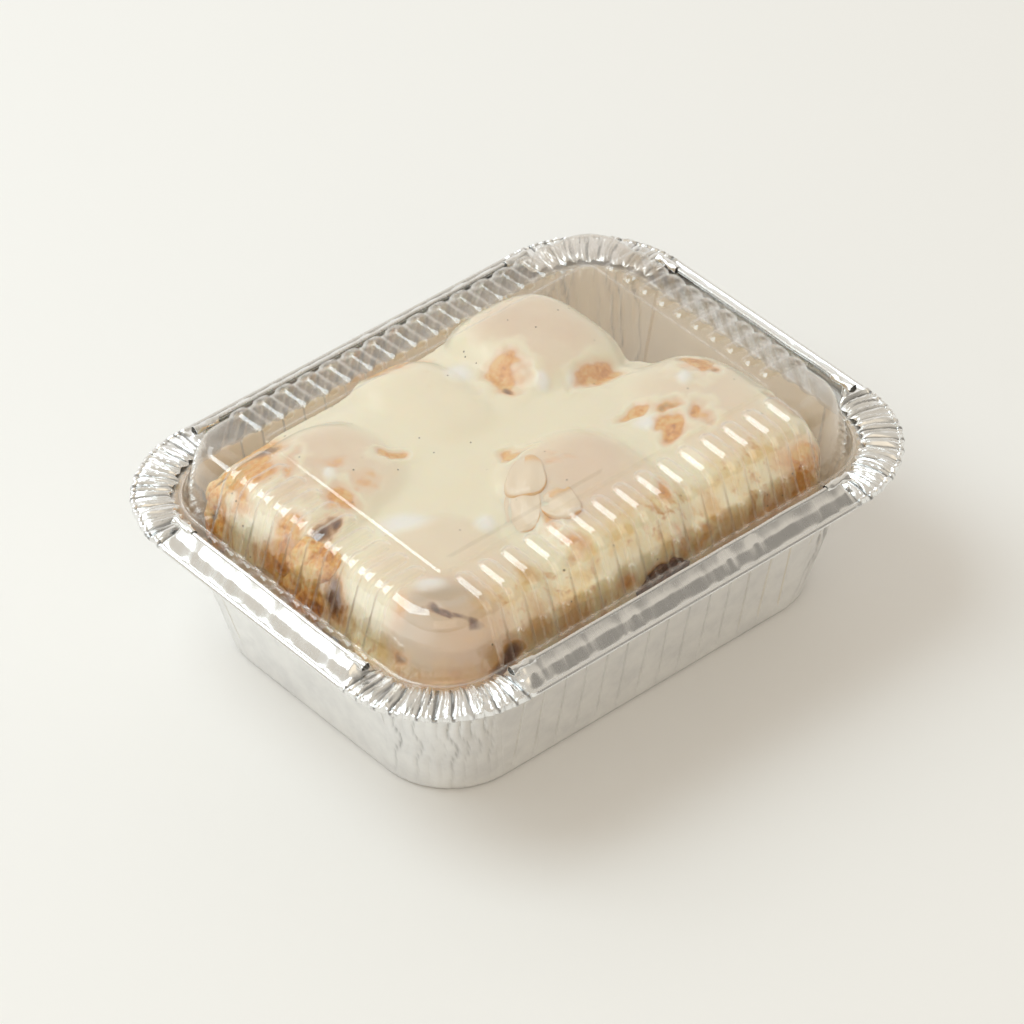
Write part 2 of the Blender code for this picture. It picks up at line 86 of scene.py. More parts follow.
# Places where the icing thins over the crust: how bare each is, and how much dark filling shows
Patch = namedtuple("Patch", "x y z size bare dark amber long turn tall", defaults=(1.0, 0.0, 1.0))
PATCHES = [Patch(*row) for row in (
    (18, 27, 68, 8.8, 1.2, 0.1, 0.0, 1.35, 49),
    (15, 21, 67, 4.5, 0.9, 0.8, 0.0),
    (40, 9, 66, 6.0, 1.0, 0.0, 0.1, 1.8, -3),
    (66, -10, 66, 7.5, 1.2, 0.0, 0.0, 1.3, 49),
    (68, -17, 65, 4.5, 0.9, 0.7, 0.0),
    (35, -15, 68, 4.6, 1.0, 0.1, 0.0, 2.0, -19),
    (44, -21, 68, 4.6, 0.9, 0.6, 0.0, 1.3, -19),
    (39, -29, 69, 5.0, 1.1, 0.2, 0.0, 1.6, 49),
    (50, -31, 69, 4.6, 1.0, 0.35, 0.0, 1.6, 49),
    (-35, 20, 66, 5.2, 1.1, 0.1, 0.0, 1.4, -40),
    (-53, 25, 70, 4.5, 0.6, 0.1, 0.0, 1.6, -40),
    (-51, 13, 68, 5.5, 0.65, 0.1, 0.0),
    (-62, 12, 69, 6.0, 0.85, 0.1, 0.0, 1.3, -40),
    (-63, 34, 69, 5.0, 0.9, 0.0, 0.1, 1.5, 40),
    (-1, -20, 71, 4.0, 0.6, 0.0, 0.0, 1.5, -40),
    (-8, -5, 67, 4.0, 0.8, 0.0, 0.1, 1.6, -40),
    (-73, -49, 68, 4.0, 0.7, 1.0, 0.0, 2.2, -40),
    (-66, -57, 66, 3.4, 0.5, 0.9, 0.0, 2.2, -55),
    (-77, -36, 67, 6.0, 0.6, 0.25, 0.0, 1.4, 49),
    (-73, -66, 50, 9.0, 0.9, 0.3, 0.3),
    (-87, -44, 57, 5.0, 0.9, 0.7, 0.0),
    (-60, -65, 55, 8.5, 1.1, 0.9, 0.0),
    # This wide patch darkens the front corner: partly thin icing, partly painted shade.
    (-68, -60, 57, 24.0, 0.42, 0.12, 0.1),
    (-84, 6, 55, 17.0, 1.3, 0.1, 0.0),
    (-85, -13, 57, 9.0, 1.0, 0.85, 0.0),
    (-83, 50, 56, 14.0, 1.2, 0.45, 0.0),
    (-79, 37, 64, 8.0, 0.9, 0.35, 0.0),
    (-75, 45, 67, 11.0, 1.2, 0.45, 0.0, 1.4, -40),
    (-67, 51, 66, 8.0, 1.1, 0.8, 0.0, 1.5, -40),
    (-78, 15, 66, 6.0, 0.95, 0.3, 0.0, 1.5, 20),
    (-72, 6, 67, 5.5, 0.9, 0.95, 0.0, 1.6, 20),
    (0, -65, 49, 10.5, 1.2, 1.0, 0.0),
    (15, -52, 68, 4.0, 0.85, 0.15, 0.3, 1.8, 75, 1.5),
    (11, -63, 58, 3.8, 0.95, 0.3, 0.6, 1.0, 0, 3.0),
    (19, -64, 57, 4.0, 0.75, 0.15, 0.6, 1.0, 0, 2.4),
    (2, -58, 65, 3.0, 0.85, 0.5, 0.1),
    (-12, -64, 55, 4.5, 0.7, 0.15, 0.5, 1.0, 0, 2.0),
    (-21, -51, 68, 5.0, 0.85, 0.15, 0.6, 1.5, 70),
    (-22, -40, 71, 4.0, 0.8, 0.3, 0.3, 1.5, 60),
    (-49, -64, 60, 3.2, 0.75, 0.3, 0.6, 1.0, 0, 2.4),
    (-41, -52, 67, 7.0, 0.15, 0.0, 0.9, 1.0, 0),
    (27, -60, 62, 8.0, 0.2, 0.0, 0.7),
    (63, -62, 58, 13.0, 1.1, 0.0, 0.1),
    (75, -42, 61, 9.0, 0.9, 0.6, 0.0),
    (45, -65, 52, 9.0, 0.7, 0.0, 0.4),
    (-47, -64, 60, 9.0, 0.3, 0.0, 0.9),
    (-34, -64, 52, 10.0, 0.45, 0.05, 0.9),
    (30, -64, 50, 10.0, 0.3, 0.0, 0.8),
    (-80, -60, 50, 13.0, 0.75, 0.15, 1.0),
    (-3, 58, 60, 14.0, 1.1, 0.3, 0.0),
    (-60, 53, 60, 12.0, 1.0, 0.2, 0.1),
)]

# Thick white lumps of icing beside the bare places; their white is partly the icing's own and
# partly painted highlight
Lump = namedtuple("Lump", "x y half_long half_wide turn")
LUMPS = (
    Lump(7.5, 38, 6.0, 4.5, 49), Lump(23, 15, 3.4, 2.4, 49), Lump(32, 10, 3.6, 2.4, 49),
    Lump(35, -21.5, 5.0, 3.2, -40), Lump(-53, -8, 8.5, 5.5, -40), Lump(-35, -25, 5.0, 3.6, 49),
    Lump(-68, -38, 5.5, 2.8, -40), Lump(-58, 22, 3.4, 2.2, 49), Lump(57, -14, 4.0, 2.4, 49),
)


def let_go_of_all():
    """Leave edit mode and deselect everything, before a new piece is made."""
    if bpy.context.object and bpy.context.object.mode != "OBJECT":
        bpy.ops.object.mode_set(mode="OBJECT")
    bpy.ops.object.select_all(action="DESELECT")


def take_up(piece):
    let_go_of_all()
    bpy.context.view_layer.objects.active = piece
    piece.select_set(True)


def smooth_step(value):
    """0 up to 0, 1 from 1 on, and a soft slope between."""
    value = np.clip(value, 0.0, 1.0)
    return value * value * (3 - 2 * value)


def finish_piece(piece, material, nodes=(), angle=180):
    """Set a finished mesh down at the origin with its material, and tie it to the tray's body."""
    take_up(piece)
    bpy.ops.object.transform_apply(location=True, rotation=True, scale=True)
    if angle == 180:
        bpy.ops.object.shade_smooth()
    else:
        bpy.ops.object.shade_smooth_by_angle(angle=math.radians(angle))
    piece.data.materials.clear()
    piece.data.materials.append(material)
    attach(piece, "root")
    for node in nodes:
        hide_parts(node)
    piece.select_set(False)


def apply_all(piece):
    take_up(piece)
    for modifier in list(piece.modifiers):
        bpy.ops.object.modifier_apply(modifier=modifier.name)


def write_points(piece, points):
    piece.data.vertices.foreach_set("co", (np.asarray(points) * MM).ravel())
    piece.data.update()


def read_points(piece):
    points = np.empty(len(piece.data.vertices) * 3)
    piece.data.vertices.foreach_get("co", points)
    return points.reshape(-1, 3) / MM


def paint(piece, **layers):
    """Keep named numbers for each vertex, for the material to read."""
    for name, values in layers.items():
        layer = piece.data.attributes.new(name, "FLOAT", "POINT")
        layer.data.foreach_set("value", np.full(len(piece.data.vertices), values, np.float32))


# Pressed sheet, drawn ring by ring


Stations = namedtuple("Stations", "side_x side_y angle along corner long_side short_side")


def stations_round(long_places, short_places, corner_steps):
    """Places for the points of a ring, once round from the right-hand side, corner by corner."""
    rows = []
    turns = [step / corner_steps * math.pi / 2 for step in range(1, corner_steps)]
    for quarter, (side_x, side_y) in enumerate(((1, 1), (-1, 1), (-1, -1), (1, -1))):
        straight = short_places if quarter % 2 == 0 else long_places
        start = quarter * math.pi / 2
        sign = 1 if quarter in (0, 3) else -1
        for place in straight:
            rows.append((round(math.cos(start)), round(math.sin(start)), start, sign * place))
        for turn in turns:
            rows.append((side_x, side_y, start + turn, math.nan))
    side_x, side_y, angle, along = np.array(rows, float).T
    corner = np.isnan(along)
    return Stations(side_x, side_y, angle, np.nan_to_num(along), corner,
                    ~corner & (side_x == 0), ~corner & (side_y == 0))


def ring_of(stations, inset, radius):
    """One rounded rectangle, a given distance in from the rim's edge."""
    core_x = RIM_X - inset - radius
    core_y = RIM_Y - inset - radius
    x = np.where(stations.long_side, np.clip(stations.along, -core_x, core_x),
                 stations.side_x * core_x)
    y = np.where(stations.short_side, np.clip(stations.along, -core_y, core_y),
                 stations.side_y * core_y)
    return x + radius * np.cos(stations.angle), y + radius * np.sin(stations.angle)


def ring_at(stations, inset, radius, out, height):
    """The points of one ring at its height, each pushed out a little."""
    x, y = ring_of(stations, inset, radius)
    x = x + out * np.cos(stations.angle)
    y = y + out * np.sin(stations.angle)
    return np.stack([x, y, height + np.zeros_like(x)], axis=1)


def way_round(stations):
    """Distance of each station round the rim, and the whole way."""
    x, y = ring_of(stations, 8.0, 31.0)
    steps = np.hypot(np.diff(np.append(x, x[0])), np.diff(np.append(y, y[0])))
    return np.concatenate(([0.0], np.cumsum(steps)[:-1])), steps.sum()


def zigzag(places, whole, pitch, seed):
    """Sharp uneven folds round a closed way: up and down by turns, straight in between."""
    random = np.random.default_rng(seed)
    count = int(whole / pitch) // 2 * 2
    knots = (np.arange(count) + random.uniform(-0.36, 0.36, count)) * whole / count
    heights = np.where(np.arange(count) % 2 == 0, 1.0, -1.0) * random.uniform(0.35, 1.0, count)
    return np.interp(places, knots, heights, period=whole)


def swell(places, whole, pitch, seed):
    """Soft uneven waves round a closed way."""
    random = np.random.default_rng(seed)
    count = max(3, int(whole / pitch))
    total = np.zeros_like(places)
    for _ in range(7):
        cycles = max(1, round(count * random.uniform(0.45, 1.5)))
        total += np.sin(places / whole * math.tau * cycles + random.uniform(0, math.tau))
    return total / 3.0


def draw_sheet(name, rings, fill_first):
    """Extrude a circle ring after ring, and set each ring on its place."""
    let_go_of_all()
    rows, columns = rings.shape[:2]
    bpy.ops.mesh.primitive_circle_add(vertices=columns, radius=0.1, fill_type="NOTHING")
    sheet = bpy.context.object
    sheet.name = name
    sheet.data.name = name
    bpy.ops.object.mode_set(mode="EDIT")
    bpy.ops.mesh.select_mode(type="VERT")
    mesh = bmesh.from_edit_mesh(sheet.data)
    column = mesh.verts.layers.int.new("column")
    mesh.verts.layers.int.new("row")
    mesh.verts.ensure_lookup_table()
    start = mesh.verts[0]
    around = [start]
    edge = start.link_edges[0]
    while len(around) < columns:
        around.append(edge.other_vert(around[-1]))
        edge = next(other for other in around[-1].link_edges if other is not edge)
    for index, vertex in enumerate(around):
        vertex[column] = index
    bmesh.update_edit_mesh(sheet.data)
    if fill_first:
        bpy.ops.mesh.select_all(action="SELECT")
        bpy.ops.mesh.edge_face_add()
        bpy.ops.mesh.select_all(action="DESELECT")
        bpy.ops.mesh.select_mode(type="EDGE")
        mesh = bmesh.from_edit_mesh(sheet.data)
        for edge in mesh.edges:
            edge.select_set(True)
        bmesh.update_edit_mesh(sheet.data)
    else:
        bpy.ops.mesh.select_all(action="SELECT")
    for number in range(1, rows):
        bpy.ops.mesh.extrude_edges_indiv()
        mesh = bmesh.from_edit_mesh(sheet.data)
        row = mesh.verts.layers.int["row"]
        for vertex in mesh.verts:
            if vertex.select:
                vertex[row] = number
    bpy.ops.object.mode_set(mode="OBJECT")
    places = []
    for name in ("row", "column"):
        numbers = np.empty(len(sheet.data.vertices), np.int32)
        sheet.data.attributes[name].data.foreach_get("value", numbers)
        places.append(numbers)
    write_points(sheet, rings[tuple(places)])
    return sheet, *places


def give_thickness(sheet, thickness, offset=0.0):
    """Turn a drawn sheet's faces outward and give it its gauge."""
    take_up(sheet)
    bpy.ops.object.mode_set(mode="EDIT")
    bpy.ops.mesh.select_all(action="SELECT")
    bpy.ops.mesh.normals_make_consistent(inside=False)
    bpy.ops.object.mode_set(mode="OBJECT")
    gauge = sheet.modifiers.new("gauge", "SOLIDIFY")
    gauge.thickness = thickness * MM
    gauge.offset = offset
    apply_all(sheet)


# Foil tray


def pleat_places():
    """Points along a long wall: four across each pleat line, and some between."""
    places = [-69.0, -66.5, -64.0]
    first = -PLEAT_PITCH * PLEATS / 2
    for line in range(PLEATS + 1):
        middle = first + line * PLEAT_PITCH
        places += [middle - 0.55, middle - 0.16, middle + 0.16, middle + 0.55]
        if line < PLEATS:
            places += [middle + 2.2, middle + 4.25, middle + 6.3]
    return places + [64.0, 66.5, 69.0]


def pleat_depth(stations):
    """Lap pleats: each panel leans out a little and steps back sharply at a pinched line."""
    first = -PLEAT_PITCH * PLEATS / 2
    share = (stations.along - first) / PLEAT_PITCH
    inside = (share > -0.1) & (share < PLEATS + 0.1)
    lean = (share % 1.0) - 0.5
    from_line = np.abs((share + 0.5) % 1.0 - 0.5) * PLEAT_PITCH
    lean = np.where(from_line < 0.6, 0.0, lean)
    pinch = np.where(from_line < 0.3, 1.0, 0.0)
    at_tuck = np.abs(np.abs(stations.along) - TUCK_Y) < 0.2
    tuck = np.where(stations.short_side & at_tuck, -0.9, 0.0)
    return np.where(stations.long_side & inside, 0.55 * lean - 0.75 * pinch, tuck)


# The pan's rings from the middle of its floor to the bottom of its wall: inset, height, radius
PAN_FOOT = (
    (36.0, 0.9, 14.0), (30.5, 0.9, 19.5), (29.7, 0.8, 20.3), (28.9, 0.3, 21.2), (27.2, 0.25, 23.6),
    (26.2, 0.45, 24.6), (25.5, 1.1, 25.3), (25.2, 2.2, 25.5),
)
PAN_LEDGE = (
    (14.6, 53.4, 24.8), (14.2, 53.95, 25.3), (13.4, 54.15, 26.1), (9.0, 54.15, 30.5),
    (5.0, 54.15, 34.5), (2.2, 54.15, 37.3),
)
LEDGE_INSET = 14.3


def make_pan(foil):
    """Floor, leaning walls with pleats and gathered corners, and the ledge, as one sheet."""
    tuck = [TUCK_Y - 0.9, TUCK_Y - 0.3, TUCK_Y, TUCK_Y + 0.3] + list(np.linspace(41, 45, 4))
    short_places = [-place for place in reversed(tuck)] + list(np.linspace(-38, 38, 40)) + tuck
    stations = stations_round(pleat_places(), short_places, 72)
    way, whole = way_round(stations)
    into_corner = smooth_step(np.abs(np.sin(stations.angle * 2)) * 3.0) * stations.corner
    wall = [(25.2 - 10.4 * step, 2.2 + 50.6 * step, 25.5 - 0.9 * step)
            for step in np.linspace(0, 1, 21)[1:]]
    rings = []
    crease_shade_rows = []
    for inset, height, radius in [*PAN_FOOT, *wall, *PAN_LEDGE]:
        below_ledge = inset > LEDGE_INSET
        up_wall = np.clip((height - 1.5) / 52.0, 0, 1) * below_ledge
        drift = 1.3 * math.sin(height / 4.6) + 0.9 * math.sin(height / 2.3 + 1)
        fold = zigzag(way + drift, whole, 2.3, 5)
        crease = np.minimum(0.0, fold) * 1.5
        crease += 0.5 * zigzag(way - 0.6 * drift, whole, 4.7, 9)
        gather = into_corner * (0.3 + 0.9 * up_wall) * crease
        gather *= 0.85 + 0.4 * np.sin(way / 5.0 + height / 7.0)
        deep = np.clip(-0.35 - fold, 0, 0.5) * 2
        # Painted shade: the deepest folds of the gathered corners are marked to be greyed.
        crease_shade_rows.append(into_corner * deep * min(1.0, height / 20) * below_ledge)
        wave = 0.16 * swell(way + height * 0.25, whole, 16.0, 3) * np.sin(math.pi * up_wall)
        pleats = pleat_depth(stations) * smooth_step((height - 2.5) / 5) * below_ledge
        out = (gather + wave) * (height > 1.0) + pleats
        rings.append(ring_at(stations, inset, radius, out, height))
    pan, row, column = draw_sheet("foil_pan", np.array(rings), fill_first=True)
    paint(pan, crease=0.55 * np.array(crease_shade_rows)[row, column])
    give_thickness(pan, 0.2)
    finish_piece(pan, foil, ["foil_tray"], angle=42)


def arc_points(centre, radius, first, last, steps):
    """Points on a rolled edge, as (inset, height), from one angle to another in degrees."""
    points = []
    for angle in np.linspace(first, last, steps):
        turn = math.radians(angle)
        points.append((centre[0] - radius * math.cos(turn), centre[1] + radius * math.sin(turn)))
    return points


def make_rim(foil):
    """The rolled bead, the band folded up over the lid on each side, and the crimped corners."""
    fold = [(5.0, 54.4), (2.3, 54.3)] + arc_points((1.35, 55.1), 0.95, -90, 150, 8)
    fold += [(2.5, 55.8), (3.1, 56.45), (3.9, 57.35), (4.75, 58.3), (5.1, 58.68), (5.4, 58.85),
             (6.6, 59.75), (7.85, 60.85)]
    fold += arc_points((8.55, 60.75), 0.72, 150, -150, 10)
    flat = [(5.0, 54.4), (2.3, 54.3)] + arc_points((1.45, 55.05), 0.85, -90, 150, 8)
    flat += [(2.9, 55.75), (3.6, 55.95), (4.4, 56.1), (5.2, 56.15), (6.0, 56.2), (6.8, 56.2),
             (7.6, 56.25), (8.4, 56.25)]
    flat += [(9.1, 56.3), (9.8, 56.3), (10.5, 56.3), (11.2, 56.3), (11.8, 56.25), (12.4, 56.2),
             (12.9, 56.1), (13.3, 56.0), (13.7, 55.85), (14.1, 55.6)]
    places = []
    for start, first, last in ((-59.2, 60.0, 69.5), (-36.8, 37.5, 45.5)):
        ends = np.arange(first, last, 0.5)
        places.append([*-ends[::-1], *np.arange(start, first - 0.5, 1.1), *ends])
    stations = stations_round(*places, 200)
    way, whole = way_round(stations)
    fold_end = np.where(stations.long_side, FOLD_END_X, FOLD_END_Y)
    past_fold = smooth_step((np.abs(stations.along) - fold_end) / 4.2)
    standing = np.where(stations.corner, 0.0, 1.0 - past_fold)
    crimped = 1.0 - standing
    rings = []
    crease_shade_rows = []
    last = len(fold) - 1
    for row, (stood, lain) in enumerate(zip(fold, flat)):
        share = row / last
        from_bead = max(0.0, (row - 9) / (last - 9))
        skew = 0.5 * math.sin(share * 6.0) + 0.9 * share
        coarse = zigzag(way + skew, whole, 1.15, 21)
        middling = zigzag(way - 0.6 * skew, whole, 2.5, 22)
        fine = zigzag(way + 1.6 * skew, whole, 0.7, 23)
        crimp = 0.55 + 0.42 * coarse + 0.55 * middling + 0.2 * fine
        # Painted shade: the valleys between the crimps are marked to be greyed.
        crease_shade_rows.append(crimped * smooth_step((0.42 - crimp) / 0.4) * min(1.0, row / 6))
        tall = (0.45 + 0.75 * math.sin(math.pi * min(1.0, 0.25 + 0.75 * from_bead))) * (row > 5)
        inset = standing * stood[0] + crimped * lain[0]
        height = standing * stood[1] + crimped * (lain[1] + tall * np.maximum(crimp, -0.1))
        notch = np.maximum(0.0, coarse) * 0.9 + 0.35 * middling
        inset = inset + crimped * notch * math.exp(-((row - 6) / 3.5) ** 2)
        ragged = 1.1 * zigzag(way, whole, 2.6, 31) + 0.7 * zigzag(way, whole, 7.0, 32)
        inset = inset - crimped * ragged * from_bead**3
        ripple = 0.26 * swell(way + 3 * share, whole, 8.0, 41)
        ripple += 0.44 * zigzag(way + 1.2 * skew, whole, 6.4, 42)
        belly = math.sin(math.pi * min(1.0, max(0.0, (row - 9) / 9)))
        height = height + standing * ripple * belly
        inset = inset + standing * (0.12 * swell(way, whole, 30.0, 43) * (row > 9))
        rings.append(ring_at(stations, inset, FOLD_RADIUS - inset, 0.0, height))
    rim, row, column = draw_sheet("foil_rim", np.array(rings), fill_first=False)
    paint(rim, way=way[column] * MM, crease=np.array(crease_shade_rows)[row, column])
    give_thickness(rim, 0.16)
    finish_piece(rim, foil, ["foil_tray"], angle=24)


def make_curls(foil):
    """The open rolled ends of the four folds, each a short flattened tube of foil."""
    tubes = []
    signs = ((1, 1), (-1, 1), (1, -1), (-1, -1))
    ends = [(x * FOLD_END_X, y * (RIM_Y - CURL_INSET), 0) for x, y in signs]
    ends += [(x * (RIM_X - CURL_INSET), y * FOLD_END_Y, 1) for x, y in signs]
    for end_x, end_y, axis in ends:
        let_go_of_all()
        middle = np.array([end_x, end_y, CURL_HEIGHT])
        bpy.ops.mesh.primitive_cylinder_add(
            vertices=28, radius=1.3 * MM, depth=9 * MM, end_fill_type="NOTHING",
            location=tuple(middle * MM), rotation=((0, math.pi / 2, 0), (math.pi / 2, 0, 0))[axis])
        tube = bpy.context.object
        bpy.ops.object.transform_apply(location=True, rotation=True, scale=True)
        bpy.ops.object.mode_set(mode="EDIT")
        bpy.ops.mesh.select_all(action="SELECT")
        bpy.ops.mesh.subdivide(number_cuts=9)
        bpy.ops.object.mode_set(mode="OBJECT")
        offset = read_points(tube) - middle
        outward = np.sign(middle[axis])
        reach = offset[:, axis] * outward
        spread = 1.0 + 0.22 * smooth_step((reach - 1.0) / 3.5)
        across = 1 - axis
        turn = np.arctan2(offset[:, 2], offset[:, across])
        dent = 1.0 + 0.10 * np.sin(3 * turn + reach) + 0.06 * np.sin(5 * turn - 2 * reach)
        offset[:, across] *= spread * dent
        offset[:, 2] *= spread * dent * 0.86
        write_points(tube, middle + offset)
        tubes.append(tube)
    let_go_of_all()
    for tube in tubes:
        tube.select_set(True)
    bpy.context.view_layer.objects.active = tubes[0]
    bpy.ops.object.join()
    curls = tubes[0]
    curls.name = "fold_curls"
    give_thickness(curls, 0.18)
    finish_piece(curls, foil, ["foil_tray"], angle=60)


# Clear lid


def rib_places(ribs, pitch):
    """Points along a ribbed side: close together at each rib's edges."""
    half = (0.6, 1.22, 1.48, 2.1, 2.85, 3.05, 3.25)
    places = [ribs[0] - pitch / 2]
    for rib in ribs:
        places += [rib - offset for offset in reversed(half)] + [rib + offset for offset in half]
        places.append(rib + pitch / 2)
    return places


def near_ribs(stations, inset):
    """For long and short sides: which stations, how far to the nearest rib, how far inside it."""
    short_of_end = max(0.0, RIB_HALF - RIB_START + inset)
    for side, ribs in ((stations.long_side, LONG_RIBS), (stations.short_side, SHORT_RIBS)):
        nearest = np.min(np.abs(stations.along[:, None] - np.array(ribs)), axis=1)
        yield side, nearest, RIB_HALF - np.hypot(nearest, short_of_end)


def rib_shape(stations, inset):
    """How far a ribbed side stands up at each station, from 0 between ribs to 1 on a rib."""
    shape = np.zeros_like(stations.along)
    if inset >= RIB_START:
        return shape
    for side, nearest, from_edge in near_ribs(stations, inset):
        crown = np.clip(1 - (nearest / RIB_HALF) ** 2, 0, 1)
        rib = np.clip(from_edge / RIB_FLANK, 0, 1) * (0.92 + 0.08 * crown)
        shape = np.where(side, rib, shape)
    return shape


def bend_haze_and_highlight(stations, inset):
    """Where the sheet is whitened at its sharp bends: rib edges, panel edge, foot and corners. The
    white is partly the plastic's own whitening and partly painted highlight along the bends.
    """
    haze_and_highlight = np.zeros_like(stations.along)
    if 15.5 < inset <= RIB_START:
        for side, _, from_edge in near_ribs(stations, inset):
            line = np.exp(-((from_edge / 0.12) ** 2))
            line += 0.5 * np.exp(-(((from_edge - RIB_FLANK) / 0.12) ** 2))
            haze_and_highlight = np.where(side, line, haze_and_highlight)
    for strength, bend, width in ((0.3, 42.2, 0.2), (0.15, 41.3, 0.2), (1.6, 16.4, 0.3)):
        haze_and_highlight += strength * math.exp(-(((inset - bend) / width) ** 2))
    return haze_and_highlight + np.where(stations.corner & (13 < inset < 31), 0.35, 0.0)


def lid_profile():
    """(inset, height, rib rise) from the panel out over the band, the bend, the wall and flange."""
    rows = [(46.0, 77.25, 0), (42.7, 77.25, 0), (42.4, 77.22, 0), (42.1, 77.12, 0),
            (41.4, 76.72, 0), (41.1, 76.62, 0), (40.7, 76.58, 0), (40.1, 76.57, 0)]
    rows += [(inset, 76.56, 1.05) for inset in (39.5, 39.2, 38.9, 38.5, 38.0, 37.4, 36.8, 36.2)]
    rows += [(inset, 76.55 - 0.05 * (35.0 - inset) ** 1.2, 1.05)
             for inset in np.linspace(35.0, 30.4, 5)]
    for angle in np.linspace(82, 18, 13):
        turn = math.radians(angle)
        rows.append((29.24 - 7.0 * math.cos(turn), 69.4 + 7.0 * math.sin(turn), 1.1))
    for step in np.linspace(0, 1, 9)[1:]:
        rows.append((22.58 - 4.9 * step, 71.5 - 14.6 * step, 1.1 + 0.15 * step))
    rows += [(17.3, 56.2, 1.25), (16.9, 55.6, 1.15), (16.3, 55.25, 0.8), (15.4, 55.1, 0.35),
             (13.5, 55.05, 0), (9.0, 55.0, 0), (5.3, 55.0, 0)]
    return rows


def make_lid(clear):
    """The ribbed dome as one thin sheet, whitened a little at its bends, partly as painted
    highlight.
    """
    stations = stations_round(rib_places(LONG_RIBS, 9.0), rib_places(SHORT_RIBS, 8.1), 22)
    way, whole = way_round(stations)
    rows = lid_profile()
    insets, heights, _ = np.array(rows).T
    slope_out = -np.gradient(insets)
    slope_up = np.gradient(heights)
    length = np.hypot(slope_out, slope_up)
    rings = []
    whitened = []
    for row, (inset, height, rise) in enumerate(rows):
        radius = np.interp(inset, (5, 17.4, 21.9, 28, 41.3), (34.5, 22.0, 16.5, 11.0, 3.2))
        shape = rib_shape(stations, inset) * rise
        whitened.append(bend_haze_and_highlight(stations, inset))
        wander = 0.05 * swell(way, whole, 22.0, 61) * smooth_step((38.0 - inset) / 8.0)
        out = (shape + wander) * -slope_up[row] / length[row]
        up = (shape + wander) * slope_out[row] / length[row]
        rings.append(ring_at(stations, inset, radius, out, height + up))
    lid, row, column = draw_sheet("dome_lid", np.array(rings), fill_first=True)
    paint(lid, bend=np.array(whitened)[row, column])
    give_thickness(lid, 0.3, offset=-1.0)
    finish_piece(lid, clear, ["clear_lid"])


# Buns and icing


def roughly(points, scale, seed):
    """Uneven relief between about -1 and 1, from each point's place in millimetres."""
    shift = Vector((seed * 7.3, seed * 3.1, seed * 5.7))
    return np.array([noise.noise(Vector(point) * scale + shift) for point in points])


def far_out(bun, x, y):
    """0 in the middle of a bun, 1 at its edge."""
    across = np.abs(x - (bun.west + bun.east) / 2) / ((bun.east - bun.west) / 2)
    along = np.abs(y - (bun.south + bun.north) / 2) / ((bun.north - bun.south) / 2)
    return (across**3 + along**3) ** (1 / 3)


def dome(bun, out):
    """Height of a bun's crown."""
    return BUN_SIDE + (bun.top - BUN_SIDE) * np.clip(1 - out**3, 0, 1) ** 0.6


def bareness(points):
    """How bare, how dark and how amber the food is at each point, with ragged edges."""
    ragged = np.stack([roughly(points, 0.12, seed) for seed in (1, 2, 3)], axis=1) * 4.5
    ragged += np.stack([roughly(points, 0.36, seed) for seed in (4, 5, 6)], axis=1) * 1.4
    moved = points + ragged
    bare, dark, amber, lip = np.zeros((4, len(points)))
    for patch in PATCHES:
        offset = moved - np.array([patch.x, patch.y, patch.z])
        turn = math.radians(patch.turn)
        ahead = (offset[:, 0] * math.cos(turn) + offset[:, 1] * math.sin(turn)) / patch.long
        aside = offset[:, 1] * math.cos(turn) - offset[:, 0] * math.sin(turn)
        away = np.sqrt(ahead**2 + aside**2 + (offset[:, 2] / patch.tall) ** 2) / patch.size
        near = 1 - smooth_step((away - 0.2) / 0.95)
        bare = np.maximum(bare, patch.bare * near)
        dark = np.maximum(dark, patch.dark * near)
        amber = np.maximum(amber, patch.amber * near)
        if patch.size < 10 and patch.bare > 0.75:
            lip = np.maximum(lip, np.clip(1 - np.abs(away - 1.12) / 0.42, 0, 1))
    return bare, dark, amber, smooth_step(lip) * np.clip(1 - bare * 1.4, 0, 1)


def lumpiness(x, y):
    """1 in the middle of a white lump of icing, 0 away from them; the white is partly painted
    highlight.
    """
    white = np.zeros_like(x)
    for lump in LUMPS:
        turn = math.radians(lump.turn)
        ahead = ((x - lump.x) * math.cos(turn) + (y - lump.y) * math.sin(turn)) / lump.half_long
        aside = ((y - lump.y) * math.cos(turn) - (x - lump.x) * math.sin(turn)) / lump.half_wide
        white = np.maximum(white, 1 - smooth_step(np.hypot(ahead, aside) * 0.9 - 0.25))
    return white


def room_inside(height):
    """Inset and corner radius of the space inside tray and lid at each height."""
    heights = (0.0, 50.2, 53.2, 56.2, 70.0, 74.6)
    inset = np.interp(height, heights, (26.6, 16.0, 18.3, 18.3, 22.8, 27.0))
    radius = np.interp(height, heights, (24.2, 20.9, 21.2, 21.2, 15.7, 14.2))
    return inset, radius


def keep_inside(x, y, height, spare):
    """Draw points in that would touch tray or lid, and leave the spare between."""
    inset, radius = room_inside(height)
    half_x = RIM_X - inset - spare
    half_y = RIM_Y - inset - spare
    radius = radius - spare
    across = np.minimum(np.abs(x), half_x)
    along = np.minimum(np.abs(y), half_y)
    over_x = across - (half_x - radius)
    over_y = along - (half_y - radius)
    round_it = (over_x > 0) & (over_y > 0)
    over = np.maximum(np.hypot(over_x, over_y), 1e-6)
    scale = np.where(round_it, np.minimum(1, radius / over), 1)
    across = np.where(round_it, half_x - radius + over_x * scale, across)
    along = np.where(round_it, half_y - radius + over_y * scale, along)
    return np.copysign(across, x), np.copysign(along, y)


def directions(ball):
    points = read_points(ball)
    return points / np.linalg.norm(points, axis=1, keepdims=True)


def ball_turns(ball):
    """Each point's share of the way from the top pole to the bottom one, and its direction."""
    unit = directions(ball)
    return np.arccos(np.clip(unit[:, 2], -1, 1)) / math.pi, np.arctan2(unit[:, 1], unit[:, 0])


def add_ball(name, segments, rings):
    let_go_of_all()
    bpy.ops.mesh.primitive_uv_sphere_add(segments=segments, ring_count=rings, radius=1.0)
    ball = bpy.context.object
    ball.name = name
    ball.data.name = name
    return ball


